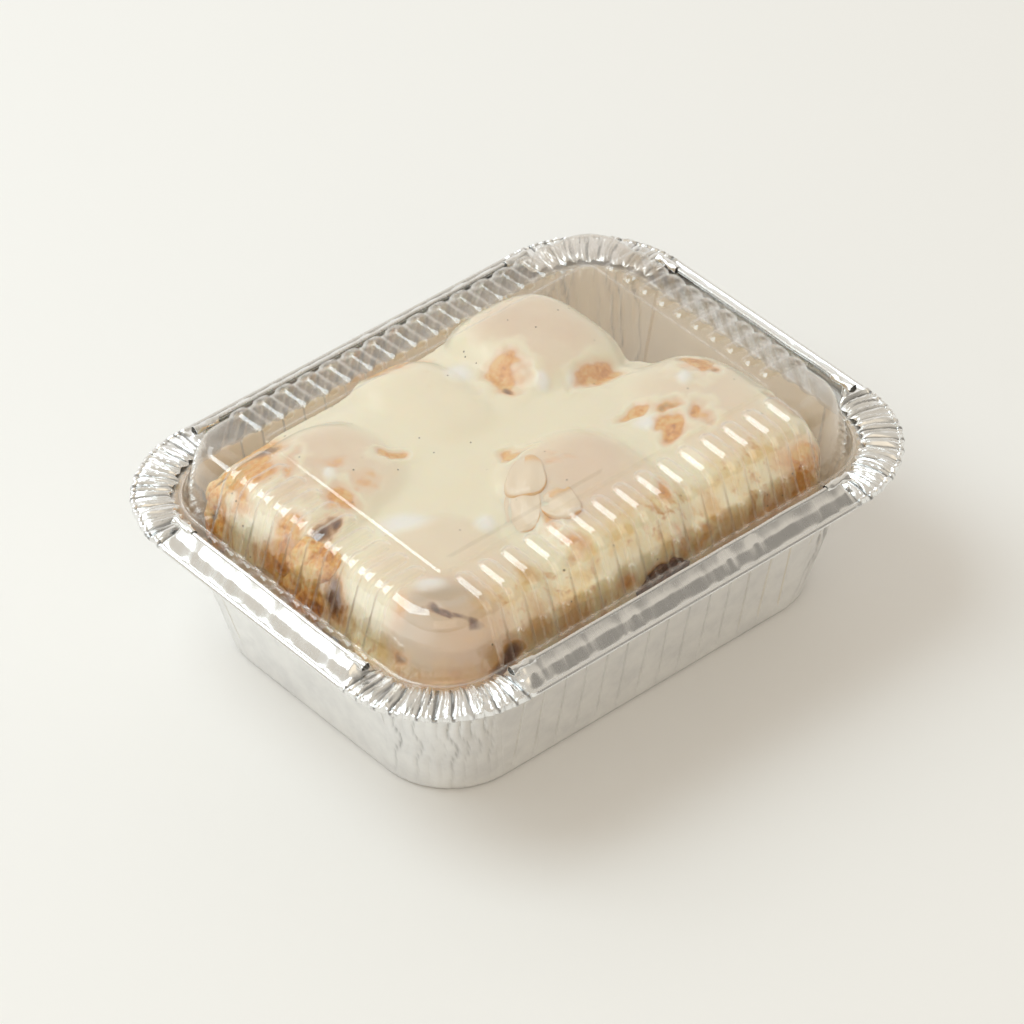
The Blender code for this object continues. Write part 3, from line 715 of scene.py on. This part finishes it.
def make_bun(bun, dough):
    """A ball of dough drawn out to a rolled bun, browned and craggy where the icing is thin."""
    ball = add_ball(bun.name.replace("bun", "rolled_bun"), 112, 84)
    share, angle = ball_turns(ball)
    out = np.interp(share, (0, 0.58, 0.64, 0.9, 0.96, 1.0), (0, 0.985, 1.0, 1.0, 0.9, 0.0))
    side = np.interp(share, (0, 0.64, 0.68, 0.92, 0.97, 1.0),
                     (BUN_SIDE, BUN_SIDE, BUN_SIDE - 2, 4.0, BUN_FOOT, BUN_FOOT))
    cosine = np.cos(angle)
    sine = np.sin(angle)
    x, y = [(low + high) / 2 + (high - low) / 2 * out * np.copysign(np.abs(way) ** (2 / 3), way)
            for low, high, way in ((bun.west, bun.east, cosine), (bun.south, bun.north, sine))]
    height = np.where(share < 0.64, dome(bun, out), side)
    x, y = keep_inside(x, y, height, 2.2)
    points = np.stack([x, y, height], axis=1)
    bare, dark, _, _ = bareness(points)
    wave = 0.5 - 0.5 * np.cos(math.tau * 2 * out - angle - bun.turn)
    groove = wave**3 * np.sin(math.pi * np.clip(out, 0, 1)) ** 0.5
    crags = roughly(points, 0.28, 2) * 0.9 + roughly(points, 0.8, 3) * 0.5
    lift = smooth_step((bare - 0.35) / 0.5)
    top = share < 0.6
    height = height - np.where(top, groove * 1.1, 0) + np.where(top, lift * (0.2 + crags), 0)
    push = np.where((share >= 0.5) & (share < 0.93), (crags - 0.1) * lift - 0.15, 0)
    x = x + push * cosine
    y = y + push * sine
    write_points(ball, np.stack([x, y, height], axis=1))
    filling = np.maximum(dark, groove * 0.75 * top) - 0.35 * crags * lift
    paint(ball, filling=np.clip(filling, 0, 1), pale=np.where(share > 0.6, 1 - lift, 0))
    finish_piece(ball, dough, [bun.name])


def bun_reach(angles):
    """How far the buns, and the icing between them, reach from the middle in each direction."""
    steps = np.arange(0.5, 125, 0.5)
    x = ICING_CENTRE[0] + steps[None, :] * np.cos(angles)[:, None]
    y = ICING_CENTRE[1] + steps[None, :] * np.sin(angles)[:, None]
    inside = np.min([far_out(bun, x, y) for bun in BUNS], axis=0) < 1
    for west, east, south, north in ((-85.2, 76.8, -63.0, -2.0), (-85.2, 57.5, -30.0, 58.0)):
        across = np.abs(x - (west + east) / 2) / ((east - west) / 2)
        along = np.abs(y - (south + north) / 2) / ((north - south) / 2)
        inside |= (across**9 + along**5) < 1
    return np.max(np.where(inside, steps[None, :], 0), axis=1)


def icing_top(x, y, share, bare):
    """Height of the icing, how thick it lies, and how much of the dough shows through it."""
    coats = [dome(bun, far_out(bun, x, y)) for bun in BUNS]
    crust = np.max(coats, axis=0)
    sheer = np.zeros_like(x)
    for bun, coat in zip(BUNS, coats):
        showing = bun.sheer * smooth_step((bun.top + 0.5 - coat) / -6 + 1)
        sheer = np.where(coat >= crust - 1e-6, showing, sheer)
    coat = COAT * (1 - 0.35 * np.minimum(bare, 1))
    pool = 67.0 - 7.0 * share**4 - 0.8 * bare
    high = np.maximum(crust + coat, pool)
    soft = 0.6
    top = high + soft * np.log(np.exp((crust + coat - high) / soft) + np.exp((pool - high) / soft))
    return top - soft * 0.35, np.maximum(top - crust, 0.0), sheer


def make_icing(cream):
    """One coat over all the buns: it pools in the valleys and runs down the sides."""
    ball = add_ball("icing_coat", 400, 170)
    turn, angle = ball_turns(ball)
    share = np.interp(turn, (0, 0.62, 0.66, 0.84, 0.88, 1.0), (0, 0.97, 1.0, 1.0, 0.94, 0.0))
    down = np.interp(turn, (0, 0.63, 0.84, 1.0), (0, 0, 1.0, 1.0))
    ring = np.linspace(-math.pi, math.pi, 1441)
    spread = math.radians(5)
    near = np.stack([bun_reach(ring + offset) for offset in (-spread, 0, spread)])
    reach_round = np.maximum(near[1], near.mean(axis=0))
    reach = np.interp(angle, ring, reach_round)
    runs = 0.55 * np.sin(angle * 37 + 2 * np.sin(angle * 5)) + 0.35 * np.sin(angle * 83 + 1)
    x = ICING_CENTRE[0] + share * reach * np.cos(angle)
    y = ICING_CENTRE[1] + share * reach * np.sin(angle)
    top, _, _ = icing_top(x, y, share, np.zeros_like(x))
    drip = 45.5 + 2.0 * (np.sin(5 * angle) + np.sin(9 * angle + 1)) + 1.2 * np.sin(31 * angle)
    drip = drip - 20.0 * smooth_step((np.sin(angle + 0.6) - 0.15) / 0.5)
    drip = drip - 4.0 * smooth_step(-3 * np.sin(angle) - 0.5)
    height = top + (drip - top) * down
    first = np.stack([x, y, height], axis=1)
    bare, dark, amber, lip = bareness(first)
    top, thick, sheer = icing_top(x, y, share, bare)
    white = lumpiness(x, y)
    top = top + 0.3 * lip + 0.7 * white
    crags = roughly(first, 0.3, 2) * 0.8 + roughly(first, 0.85, 3) * 0.4
    top = top + crags * np.minimum(bare, 1) * 0.4
    height = top + (drip - top) * down
    skirt = SKIRT * (1 - 0.5 * np.minimum(bare, 1)) - 2.6 * smooth_step((bare - 1.12) / 0.12)
    skirt = skirt + 0.4 * runs * smooth_step(down / 0.2) + 0.35 * crags * np.minimum(bare, 1)
    front_corner = smooth_step((-40 - y) / 10 + (-70 - x) / 8)
    skirt = skirt + 3.4 * smooth_step((57.0 - height) / 6.5) * front_corner
    out = np.where(turn > 0.6, skirt * smooth_step((turn - 0.6) / 0.05), 0)
    x = x + out * np.cos(angle)
    y = y + out * np.sin(angle)
    under = smooth_step((turn - 0.86) / 0.05)
    height = height + (np.maximum(drip + 4, 50.0) - height) * under
    height = height + 0.25 * roughly(first, 0.09, 5) * (turn < 0.62)
    x, y = keep_inside(x, y, np.minimum(height, 74.0), 0.25)
    write_points(ball, np.stack([x, y, height], axis=1))
    # The sides and the front edge get a brighter, yellower tint: partly the yellower thin drips,
    # partly painted warm light where little light reaches.
    on_side = smooth_step(down / 0.2)
    front = smooth_step((-42 - y) / 16) * smooth_step((72 - np.abs(x)) / 20)
    # Painted shade over the front corner, together with greyer thin icing there.
    dull_and_shaded = 1 - np.linalg.norm(first - np.array(DULL_SHADED_CORNER), axis=1) / 24.0
    sheer = np.clip(sheer * (1 - 0.5 * on_side) * (1 - 0.8 * lip), 0, 1)
    paint(ball, pooled=np.clip((thick - 1.6) / 3.0, 0, 1) * (1 - on_side),
          bare=np.clip(bare, 0, 1.4), sheer=sheer + 1.6 * smooth_step(dull_and_shaded * 2.2),
          amber=np.clip(amber, 0, 1), side=np.maximum(on_side, front), white=white,
          filling=np.clip(dark, 0, 1))
    finish_piece(ball, cream, ["icing"])


RollEnd = namedtuple("RollEnd", "name x y z half_x half_y half_z dark bun")
ROLL_ENDS = (
    RollEnd("roll_end_left", -79.6, 2.5, 50.5, 8.0, 12.5, 15.0, 0.0, "bun_back_left"),
    RollEnd("roll_end_corner", -76.0, 45.0, 50.0, 10.0, 10.5, 14.5, 0.25, "bun_back_left"),
    RollEnd("roll_end_front", 2.0, -62.5, 48.0, 11.5, 5.0, 8.0, 0.9, "bun_front_middle"),
)


def make_roll_end(end, dough):
    """The loose end of a roll, bulging out of its bun with torn layers and cinnamon in between."""
    ball = add_ball(end.name, 96, 64)
    unit = directions(ball)
    blunt = np.sum(np.abs(unit) ** 2.6, axis=1) ** (-1 / 2.6)
    middle = np.array([end.x, end.y, end.z])
    points = middle + unit * blunt[:, None] * np.array([end.half_x, end.half_y, end.half_z])
    crags = roughly(points, 0.15, 12) * 1.1 + roughly(points, 0.5, 13) * 0.35
    layer = np.sin(points[:, 1] * 0.75 + points[:, 2] * 0.22 + 2.4 * roughly(points, 0.1, 14))
    split = np.clip(layer - 0.72, 0, 1) / 0.28
    points += unit * (crags * 1.3 - 1.1 * split)[:, None]
    x, y = keep_inside(points[:, 0], points[:, 1], points[:, 2], 0.9)
    write_points(ball, np.stack([x, y, points[:, 2]], axis=1))
    paint(ball, filling=np.clip(end.dark + 0.35 * split - 0.25 * crags, 0, 1), pale=0.0)
    finish_piece(ball, dough, [end.bun])


Flap = namedtuple("Flap", "name x y turn half_long half_wide flare bow lift")
FLAPS = (
    Flap("torn_flap_under", -22.5, -27.5, -128.0, 9.0, 5.6, 0.05, 0.6, 0.5),
    Flap("torn_flap_large", -12.5, -18.5, -133.0, 9.8, 5.9, 0.34, -1.0, 1.3),
    Flap("torn_flap_small", -14.6, -37.2, -96.0, 6.8, 5.4, -0.42, 1.4, 1.3),
)


def make_flap(flap, cream):
    """A tongue of dough torn from the middle bun, lying on it under its own thin icing."""
    ball = add_ball(flap.name, 80, 48)
    unit = directions(ball)
    flat = np.hypot(unit[:, 0], unit[:, 1])
    angle = np.arctan2(unit[:, 1], unit[:, 0])
    blunt = (np.abs(np.cos(angle)) ** 3 + np.abs(np.sin(angle)) ** 3) ** (-1 / 3)
    out = (1 - (1 - flat) ** 1.5) * blunt * (1 + 0.06 * np.sin(3 * angle + flap.x))
    long = flap.half_long * out * np.cos(angle)
    wide = flap.half_wide * out * np.sin(angle) * (1 + flap.flare * long / flap.half_long)
    wide = wide + flap.bow * (long / flap.half_long) ** 2
    turn = math.radians(flap.turn)
    x = flap.x + long * math.cos(turn) - wide * math.sin(turn)
    y = flap.y + long * math.sin(turn) + wide * math.cos(turn)
    share = np.hypot(x - ICING_CENTRE[0], y - ICING_CENTRE[1]) / 62
    base, _, _ = icing_top(x, y, share, np.zeros_like(x))
    edge = np.clip(1 - flat**5, 0, 1) ** 0.5
    rise = 0.5 + flap.lift * smooth_step((long / flap.half_long + 0.9) / 1.6)
    curl = 0.35 * np.sin(wide * 0.8 + 1) * edge
    height = np.where(unit[:, 2] >= 0, base + rise * edge + curl - 0.15, base - 0.5)
    rim = smooth_step((flat - 0.84) / 0.13)
    tips = np.exp(-(((long / flap.half_long + 0.75) / 0.3) ** 2)) * (wide > -1)
    write_points(ball, np.stack([x, y, np.minimum(height, 75.8)], axis=1))
    torn = 0.12 + rim * (0.7 + 0.4 * np.sin(angle * 2 + 0.5)) + 0.5 * tips
    paint(ball, bare=np.clip(torn, 0, 1), sheer=0.5, pooled=0.0, amber=0.0, side=0.0, filling=0.0)
    finish_piece(ball, cream, ["icing"])


# Finishes


def set_up(name):
    material = bpy.data.materials.new(name)
    material.use_nodes = True
    tree = material.node_tree
    return material, tree, tree.nodes["Principled BSDF"]


def put(tree, kind, settings=None, **values):
    """Add one node, with its settings and the values of its sockets."""
    node = tree.nodes.new("ShaderNode" + kind)
    for key, value in (settings or {}).items():
        setattr(node, key, value)
    for key, value in values.items():
        node.inputs[key.replace("_", " ")].default_value = value
    return node


def ramp(tree, source, stops):
    """A colour ramp on one number, from (place, colour) stops."""
    node = tree.nodes.new("ShaderNodeValToRGB")
    points = node.color_ramp.elements
    while len(points) < len(stops):
        points.new(0.5)
    for point, (place, colour) in zip(points, stops):
        point.position = place
        point.color = (*colour, 1) if len(colour) == 3 else (colour[0],) * 3 + (1,)
    tree.links.new(source, node.inputs["Fac"])
    return node.outputs["Color"]


def mixed(tree, share, low, high):
    """Mix two colours by a number. Each colour is a socket or three numbers."""
    node = tree.nodes.new("ShaderNodeMix")
    node.data_type = "RGBA"
    sockets = [socket for socket in node.inputs if socket.type == "RGBA"]
    for socket, value in zip(sockets, (low, high)):
        if isinstance(value, tuple):
            socket.default_value = (*value, 1)
        else:
            tree.links.new(value, socket)
    if isinstance(share, float):
        node.inputs[0].default_value = share
    else:
        tree.links.new(share, node.inputs[0])
    return next(socket for socket in node.outputs if socket.type == "RGBA")


def reckon(tree, operation, first, *others, clamp=False):
    """Work out a number from several, two at a time. Only the last step is clamped."""
    for number, other in enumerate(others, start=1):
        node = tree.nodes.new("ShaderNodeMath")
        node.operation = operation
        node.use_clamp = clamp and number == len(others)
        for socket, value in zip(node.inputs, (first, other)):
            if isinstance(value, (int, float)):
                socket.default_value = value
            else:
                tree.links.new(value, socket)
        first = node.outputs[0]
    return first


def times(tree, *values, clamp=False):
    return reckon(tree, "MULTIPLY", *values, clamp=clamp)


def plus(tree, *values, clamp=False):
    return reckon(tree, "ADD", *values, clamp=clamp)


def minus(tree, first, second, clamp=False):
    return reckon(tree, "SUBTRACT", first, second, clamp=clamp)


def swing(tree, source, strength):
    """Noise about its middle, from minus to plus about half the strength."""
    return times(tree, minus(tree, source, 0.5), strength)


def rise(tree, source, low, high, first=0.0, last=1.0):
    """A number that goes from first to last while its source goes from low to high."""
    return ramp(tree, source, ((low, (first,)), (high, (last,))))


def noise_on(tree, where, scale, detail=3.0, roughness=0.55, stretch=None):
    """Noise on the object's own coordinates, stretched along an axis where asked."""
    if stretch:
        mapping = put(tree, "Mapping", Scale=stretch)
        tree.links.new(where, mapping.inputs["Vector"])
        where = mapping.outputs["Vector"]
    node = put(tree, "TexNoise", Scale=scale, Detail=detail, Roughness=roughness)
    tree.links.new(where, node.inputs["Vector"])
    return node.outputs["Fac"]


def bump_from(tree, shader, height, strength, distance):
    bump = put(tree, "Bump", Strength=strength, Distance=distance)
    tree.links.new(height, bump.inputs["Height"])
    tree.links.new(bump.outputs["Normal"], shader.inputs["Normal"])


def foil_finish(name, satin, waviness, streaks, metal, inner_glow=0.0):
    """Rolled aluminium: bright, with a satin mottle and slight waves, and painted shade that greys
    its creases.

    The inner glow makes the faces toward the food softer and warmer, as the icing lights them.
    """
    material, tree, shader = set_up(name)
    where = put(tree, "TexCoord").outputs["Object"]
    mottle = noise_on(tree, where, 110.0, 4.0, 0.6)
    soft = noise_on(tree, where, 55.0, 2.0, 0.45)
    across = put(tree, "CombineXYZ")
    tree.links.new(attribute(tree, "way"), across.inputs[0])
    tree.links.new(times(tree, mottle, 0.004), across.inputs[1])
    brushed = noise_on(tree, across.outputs[0], 420.0, 4.0, 0.6)
    mottle = plus(tree, times(tree, mottle, 1 - streaks), times(tree, brushed, streaks))
    colour = ramp(tree, mottle, (
        (0.30, (0.83, 0.83, 0.83)), (0.5, (0.89, 0.89, 0.885)), (0.7, (0.94, 0.94, 0.93))))
    # Painted shade: creases are greyed toward dark grey, where shade falls in them.
    shade = times(tree, attribute(tree, "crease"), 0.8)
    outward = put(tree, "VectorMath", {"operation": "DOT_PRODUCT"})
    tree.links.new(put(tree, "NewGeometry").outputs["True Normal"], outward.inputs[0])
    tree.links.new(where, outward.inputs[1])
    inner = times(tree, outward.outputs["Value"], -25.0, clamp=True)
    inner = times(tree, inner, inner_glow)
    colour = mixed(tree, inner, colour, (0.98, 0.89, 0.75))
    tree.links.new(mixed(tree, shade, colour, (0.20, 0.20, 0.20)), shader.inputs["Base Color"])
    rough = rise(tree, mottle, 0.35, 0.6, satin + 0.05, satin - 0.04)
    tree.links.new(rough, shader.inputs["Roughness"])
    bright = minus(tree, 1.0, times(tree, inner, 0.9))
    tree.links.new(times(tree, bright, metal), shader.inputs["Metallic"])
    bump_from(tree, shader, plus(tree, soft, times(tree, mottle, 0.5)), waviness, 0.0009)
    return material


def joined(tree, kind, *sources):
    node = put(tree, kind)
    for source, socket in zip(sources, node.inputs):
        tree.links.new(source, socket)
    return node.outputs[0]


def clear_finish():
    """Thin clear plastic: it shows what is behind it, and mirrors more as it turns edge on."""
    material = bpy.data.materials.new("thin clear plastic")
    material.use_nodes = True
    tree = material.node_tree
    tree.nodes.clear()
    facing = put(tree, "LayerWeight", Blend=0.5).outputs["Facing"]
    edge_on = reckon(tree, "POWER", facing, 3.5)
    gloss = plus(tree, times(tree, edge_on, 0.9), 0.07, clamp=True)
    through = ramp(tree, facing, ((0.0, (0.992, 0.990, 0.986)), (0.55, (0.978, 0.97, 0.962)),
                                  (0.95, (0.92, 0.90, 0.885))))
    see_through = put(tree, "BsdfTransparent")
    tree.links.new(through, see_through.inputs["Color"])
    mirror = put(tree, "BsdfGlossy", Color=(1, 1, 1, 1), Roughness=0.05)
    sheet = joined(tree, "MixShader", gloss, see_through.outputs[0], mirror.outputs[0])
    # White at the bends: partly the plastic's own whitening, partly painted highlight for the light
    # the bends catch.
    front = put(tree, "BsdfDiffuse", Color=(0.62, 0.62, 0.62, 1))
    behind = put(tree, "BsdfTranslucent", Color=(0.6, 0.59, 0.58, 1))
    white = joined(tree, "AddShader", front.outputs[0], behind.outputs[0])
    whitening = times(tree, attribute(tree, "bend"), 0.16)
    hazed_and_highlit = joined(tree, "MixShader", whitening, sheet, white)
    tree.links.new(hazed_and_highlit, put(tree, "OutputMaterial").inputs["Surface"])
    return material


def attribute(tree, name):
    return put(tree, "Attribute", {"attribute_name": name}).outputs["Fac"]


def glow_through(shader, weight, radius, depth):
    """Light that goes a little way into the food and comes out again."""
    shader.inputs["Subsurface Weight"].default_value = weight
    shader.inputs["Subsurface Radius"].default_value = radius
    shader.inputs["Subsurface Scale"].default_value = depth


def crust_colour(tree, where):
    """Browned crust, from pale gold to deep brown, and the same noise for reuse."""
    broad = noise_on(tree, where, 120.0, 4.0, 0.6)
    fine = noise_on(tree, where, 480.0, 4.0, 0.65)
    tone = plus(tree, times(tree, broad, 0.65), times(tree, fine, 0.35))
    crust = ramp(tree, tone, (
        (0.32, (0.38, 0.125, 0.03)), (0.40, (0.72, 0.30, 0.055)), (0.48, (0.90, 0.47, 0.12)),
        (0.58, (0.96, 0.68, 0.29))))
    filling = ramp(tree, fine, ((0.35, (0.06, 0.024, 0.014)), (0.65, (0.24, 0.10, 0.05))))
    return crust, filling, broad, fine


def dough_finish():
    """Baked dough: golden to deep brown crust, with dark cinnamon filling in its rolls."""
    material, tree, shader = set_up("baked cinnamon dough")
    where = put(tree, "TexCoord").outputs["Object"]
    crust, filling, broad, fine = crust_colour(tree, where)
    soft_side = ramp(tree, broad, ((0.35, (0.78, 0.56, 0.33)), (0.65, (0.90, 0.76, 0.54))))
    dough = mixed(tree, attribute(tree, "pale"), crust, soft_side)
    amount = plus(tree, attribute(tree, "filling"), swing(tree, broad, 0.9))
    dark = rise(tree, amount, 0.42, 0.66)
    tree.links.new(mixed(tree, dark, dough, filling), shader.inputs["Base Color"])
    shader.inputs["Roughness"].default_value = 0.36
    glow_through(shader, 0.12, (1.0, 0.45, 0.2), 0.002)
    bump_from(tree, shader, plus(tree, fine, times(tree, broad, 0.5)), 0.35, 0.0006)
    return material


def vanilla_specks(tree, where):
    """1 on a few small dots, one in every other cell of a fine pattern."""
    cells = put(tree, "TexVoronoi", Scale=185.0)
    tree.links.new(where, cells.inputs["Vector"])
    dot = rise(tree, cells.outputs["Distance"], 0.05, 0.075, 1.0, 0.0)
    pick = put(tree, "SeparateColor")
    tree.links.new(cells.outputs["Color"], pick.inputs[0])
    return times(tree, dot, reckon(tree, "GREATER_THAN", pick.outputs[0], 0.5))


def icing_finish(name, glow):
    """Set vanilla icing: cream where it pools, streaked down the sides, thin over the crust."""
    material, tree, shader = set_up(name)
    where = put(tree, "TexCoord").outputs["Object"]
    crust, filling, broad, fine = crust_colour(tree, where)
    wide = noise_on(tree, where, 45.0, 3.0, 0.5)
    streak = noise_on(tree, where, 150.0, 4.0, 0.6, (1.0, 1.0, 0.28))
    side = attribute(tree, "side")
    sheer = attribute(tree, "sheer")
    bare = attribute(tree, "bare")
    cream = mixed(tree, wide, (0.98, 0.905, 0.72), (0.955, 0.865, 0.655))
    beige = mixed(tree, wide, (0.76, 0.565, 0.425), (0.84, 0.68, 0.52))
    thin = times(tree, sheer, plus(tree, swing(tree, wide, 1.6), 1.0), clamp=True)
    over = mixed(tree, thin, cream, beige)
    # Where sheer runs past 0.9, as on the front corner, the icing is greyed: partly thin icing,
    # partly painted shade.
    over = mixed(tree, minus(tree, sheer, 0.9, clamp=True), over, (0.52, 0.40, 0.28))
    # Brighter, yellower sides: partly the thin drips' own colour, partly painted warm light on
    # these shaded faces.
    over = mixed(tree, times(tree, side, 0.4), over, (1.0, 0.82, 0.50))
    run = rise(tree, streak, 0.42, 0.62)
    over = mixed(tree, times(tree, run, side, 0.7), over, (0.90, 0.63, 0.24))
    thread = noise_on(tree, where, 330.0, 3.0, 0.6, (1.0, 1.0, 0.16))
    thread = rise(tree, plus(tree, thread, swing(tree, wide, 0.5)), 0.56, 0.70)
    over = mixed(tree, times(tree, thread, side, 0.75), over, (0.62, 0.30, 0.08))
    streaked = plus(tree, attribute(tree, "amber"), minus(tree, streak, 0.5))
    over = mixed(tree, rise(tree, streaked, 0.15, 0.85), over, (0.70, 0.44, 0.14))
    still = times(tree, attribute(tree, "pooled"), minus(tree, 1.0, side))
    pooled = mixed(tree, still, over, cream)
    # Whiter icing on the lumps, partly painted highlight.
    pooled = mixed(tree, times(tree, attribute(tree, "white"), 0.9), pooled, (1.0, 0.99, 0.955))
    uneven = plus(tree, swing(tree, fine, 0.25), swing(tree, broad, 0.45))
    worn = plus(tree, bare, uneven)
    blushed = mixed(tree, rise(tree, bare, 0.05, 0.6, 0.0, 0.7), pooled, (0.88, 0.58, 0.36))
    shown = rise(tree, worn, 0.42, 0.76)
    base = mixed(tree, shown, blushed, mixed(tree, 0.3, crust, (0.62, 0.26, 0.045)))
    deep = rise(tree, plus(tree, attribute(tree, "filling"), uneven), 0.42, 0.85)
    base = mixed(tree, deep, base, filling)
    speck = vanilla_specks(tree, where)
    tree.links.new(mixed(tree, speck, base, (0.16, 0.10, 0.05)), shader.inputs["Base Color"])
    tree.links.new(rise(tree, worn, 0.4, 0.8, 0.17, 0.32), shader.inputs["Roughness"])
    glow_through(shader, glow, (1.0, 0.72, 0.45), 0.0045)
    bump_from(tree, shader, plus(tree, wide, times(tree, fine, shown, 0.6)), 0.2, 0.001)
    return material


# Floor, light and camera


def facing_to(tree, heading, direction):
    """1 toward a direction, 0 square to it."""
    node = put(tree, "VectorMath", {"operation": "DOT_PRODUCT"})
    tree.links.new(heading, node.inputs[0])
    node.inputs[1].default_value = direction
    return node.outputs["Value"]


def make_stage():
    """A plain pale floor, a soft warm room with a dim side, and three panels of light."""
    let_go_of_all()
    bpy.ops.mesh.primitive_plane_add(size=6.0, location=(0, 0, 0))
    floor = bpy.context.object
    floor.name = "floor"
    material, tree, shader = set_up("plain pale floor")
    shader.inputs["Base Color"].default_value = (0.92, 0.918, 0.915, 1)
    shader.inputs["Roughness"].default_value = 0.75
    shader.inputs["Specular IOR Level"].default_value = 0.25
    floor.data.materials.append(material)

    world = bpy.data.worlds.new("studio")
    bpy.context.scene.world = world
    world.use_nodes = True
    tree = world.node_tree
    back = tree.nodes["Background"]
    back.inputs["Strength"].default_value = 1.0
    heading = put(tree, "TexCoord").outputs["Generated"]
    toward_dim = facing_to(tree, heading, Vector((0.50, -0.76, 0.41)).normalized())
    dim = rise(tree, toward_dim, 0.90, 0.955)
    axes = put(tree, "SeparateXYZ")
    tree.links.new(heading, axes.inputs[0])
    low = rise(tree, axes.outputs[2], 0.03, 0.32, 1.0, 0.0)
    toward_back = facing_to(tree, heading, (0.647, 0.763, 0.0))
    behind = rise(tree, toward_back, 0.55, 0.85)
    before = rise(tree, times(tree, toward_back, -1.0), 0.0, 0.5)
    around = mixed(tree, behind, (0.65, 0.60, 0.52), (0.90, 0.87, 0.82))
    around = mixed(tree, times(tree, low, before), around, (0.33, 0.30, 0.27))
    tree.links.new(mixed(tree, dim, around, (0.27, 0.25, 0.22)), back.inputs["Color"])

    add_lamp("key", (-0.38, 0.41, 0.83), (1.0, 1.32), 12.6, (0.82, 0.945, 1.0))
    add_lamp("back", (-0.22, 0.78, 0.58), (1.1, 0.5), 2.8, (0.9, 0.96, 1.0))
    add_lamp("front", (-0.45, -0.68, 0.58), (1.2, 1.2), 2.4, (1.0, 0.84, 0.60))


def add_lamp(name, toward, size, power, colour):
    """A soft panel of light, turned to the tray from its direction."""
    lamp = bpy.data.lights.new(name, "AREA")
    lamp.shape = "RECTANGLE"
    lamp.size, lamp.size_y = size
    lamp.energy = power
    lamp.color = colour
    holder = bpy.data.objects.new(name, lamp)
    bpy.context.scene.collection.objects.link(holder)
    place = Vector(toward).normalized() * LAMP_DISTANCE
    holder.location = place
    holder.rotation_euler = (Vector((0, 0, 0.03)) - place).to_track_quat("-Z", "Y").to_euler()


def make_camera():
    """The long lens that the tray was seen through, from the front left and above."""
    turn = 0.7038483
    lift = 0.6963568
    roll = -0.0143742
    level = math.cos(lift)
    back = Vector((-math.sin(turn) * level, -math.cos(turn) * level, math.sin(lift)))
    right = Vector((0, 0, 1)).cross(back).normalized()
    up = back.cross(right)
    rolled_right = math.cos(roll) * right + math.sin(roll) * up
    rolled_up = -math.sin(roll) * right + math.cos(roll) * up
    lens = bpy.data.cameras.new("camera")
    lens.sensor_width = 36.0
    lens.lens = 206.43
    lens.shift_x = -0.00733
    lens.shift_y = -0.00008
    lens.clip_start = 0.1
    lens.clip_end = 20.0
    holder = bpy.data.objects.new("camera", lens)
    bpy.context.scene.collection.objects.link(holder)
    spot = Vector((0, 0, 37.0)) * MM + back * 1851.46 * MM
    axes = Matrix((rolled_right, rolled_up, back)).transposed()
    holder.matrix_world = Matrix.Translation(spot) @ axes.to_4x4()
    bpy.context.scene.camera = holder


def main():
    """Make every piece, then the stage and the camera."""
    foil = foil_finish("bright folded foil", 0.27, 0.28, 0.5, 1.0)
    satin_foil = foil_finish("satin pressed foil", 0.42, 0.08, 0.0, 0.88, 0.8)
    clear = clear_finish()
    dough = dough_finish()
    cream = icing_finish("vanilla icing", 0.42)
    thin_cream = icing_finish("thin icing on torn dough", 0.06)
    make_pan(satin_foil)
    make_rim(foil)
    make_curls(foil)
    for bun in BUNS:
        make_bun(bun, dough)
    for end in ROLL_ENDS:
        make_roll_end(end, dough)
    make_icing(cream)
    for flap in FLAPS:
        make_flap(flap, thin_cream)
    make_lid(clear)
    make_stage()
    make_camera()
    bpy.context.scene.view_settings.view_transform = "Standard"
    bpy.context.scene.cycles.transparent_max_bounces = 24


main()
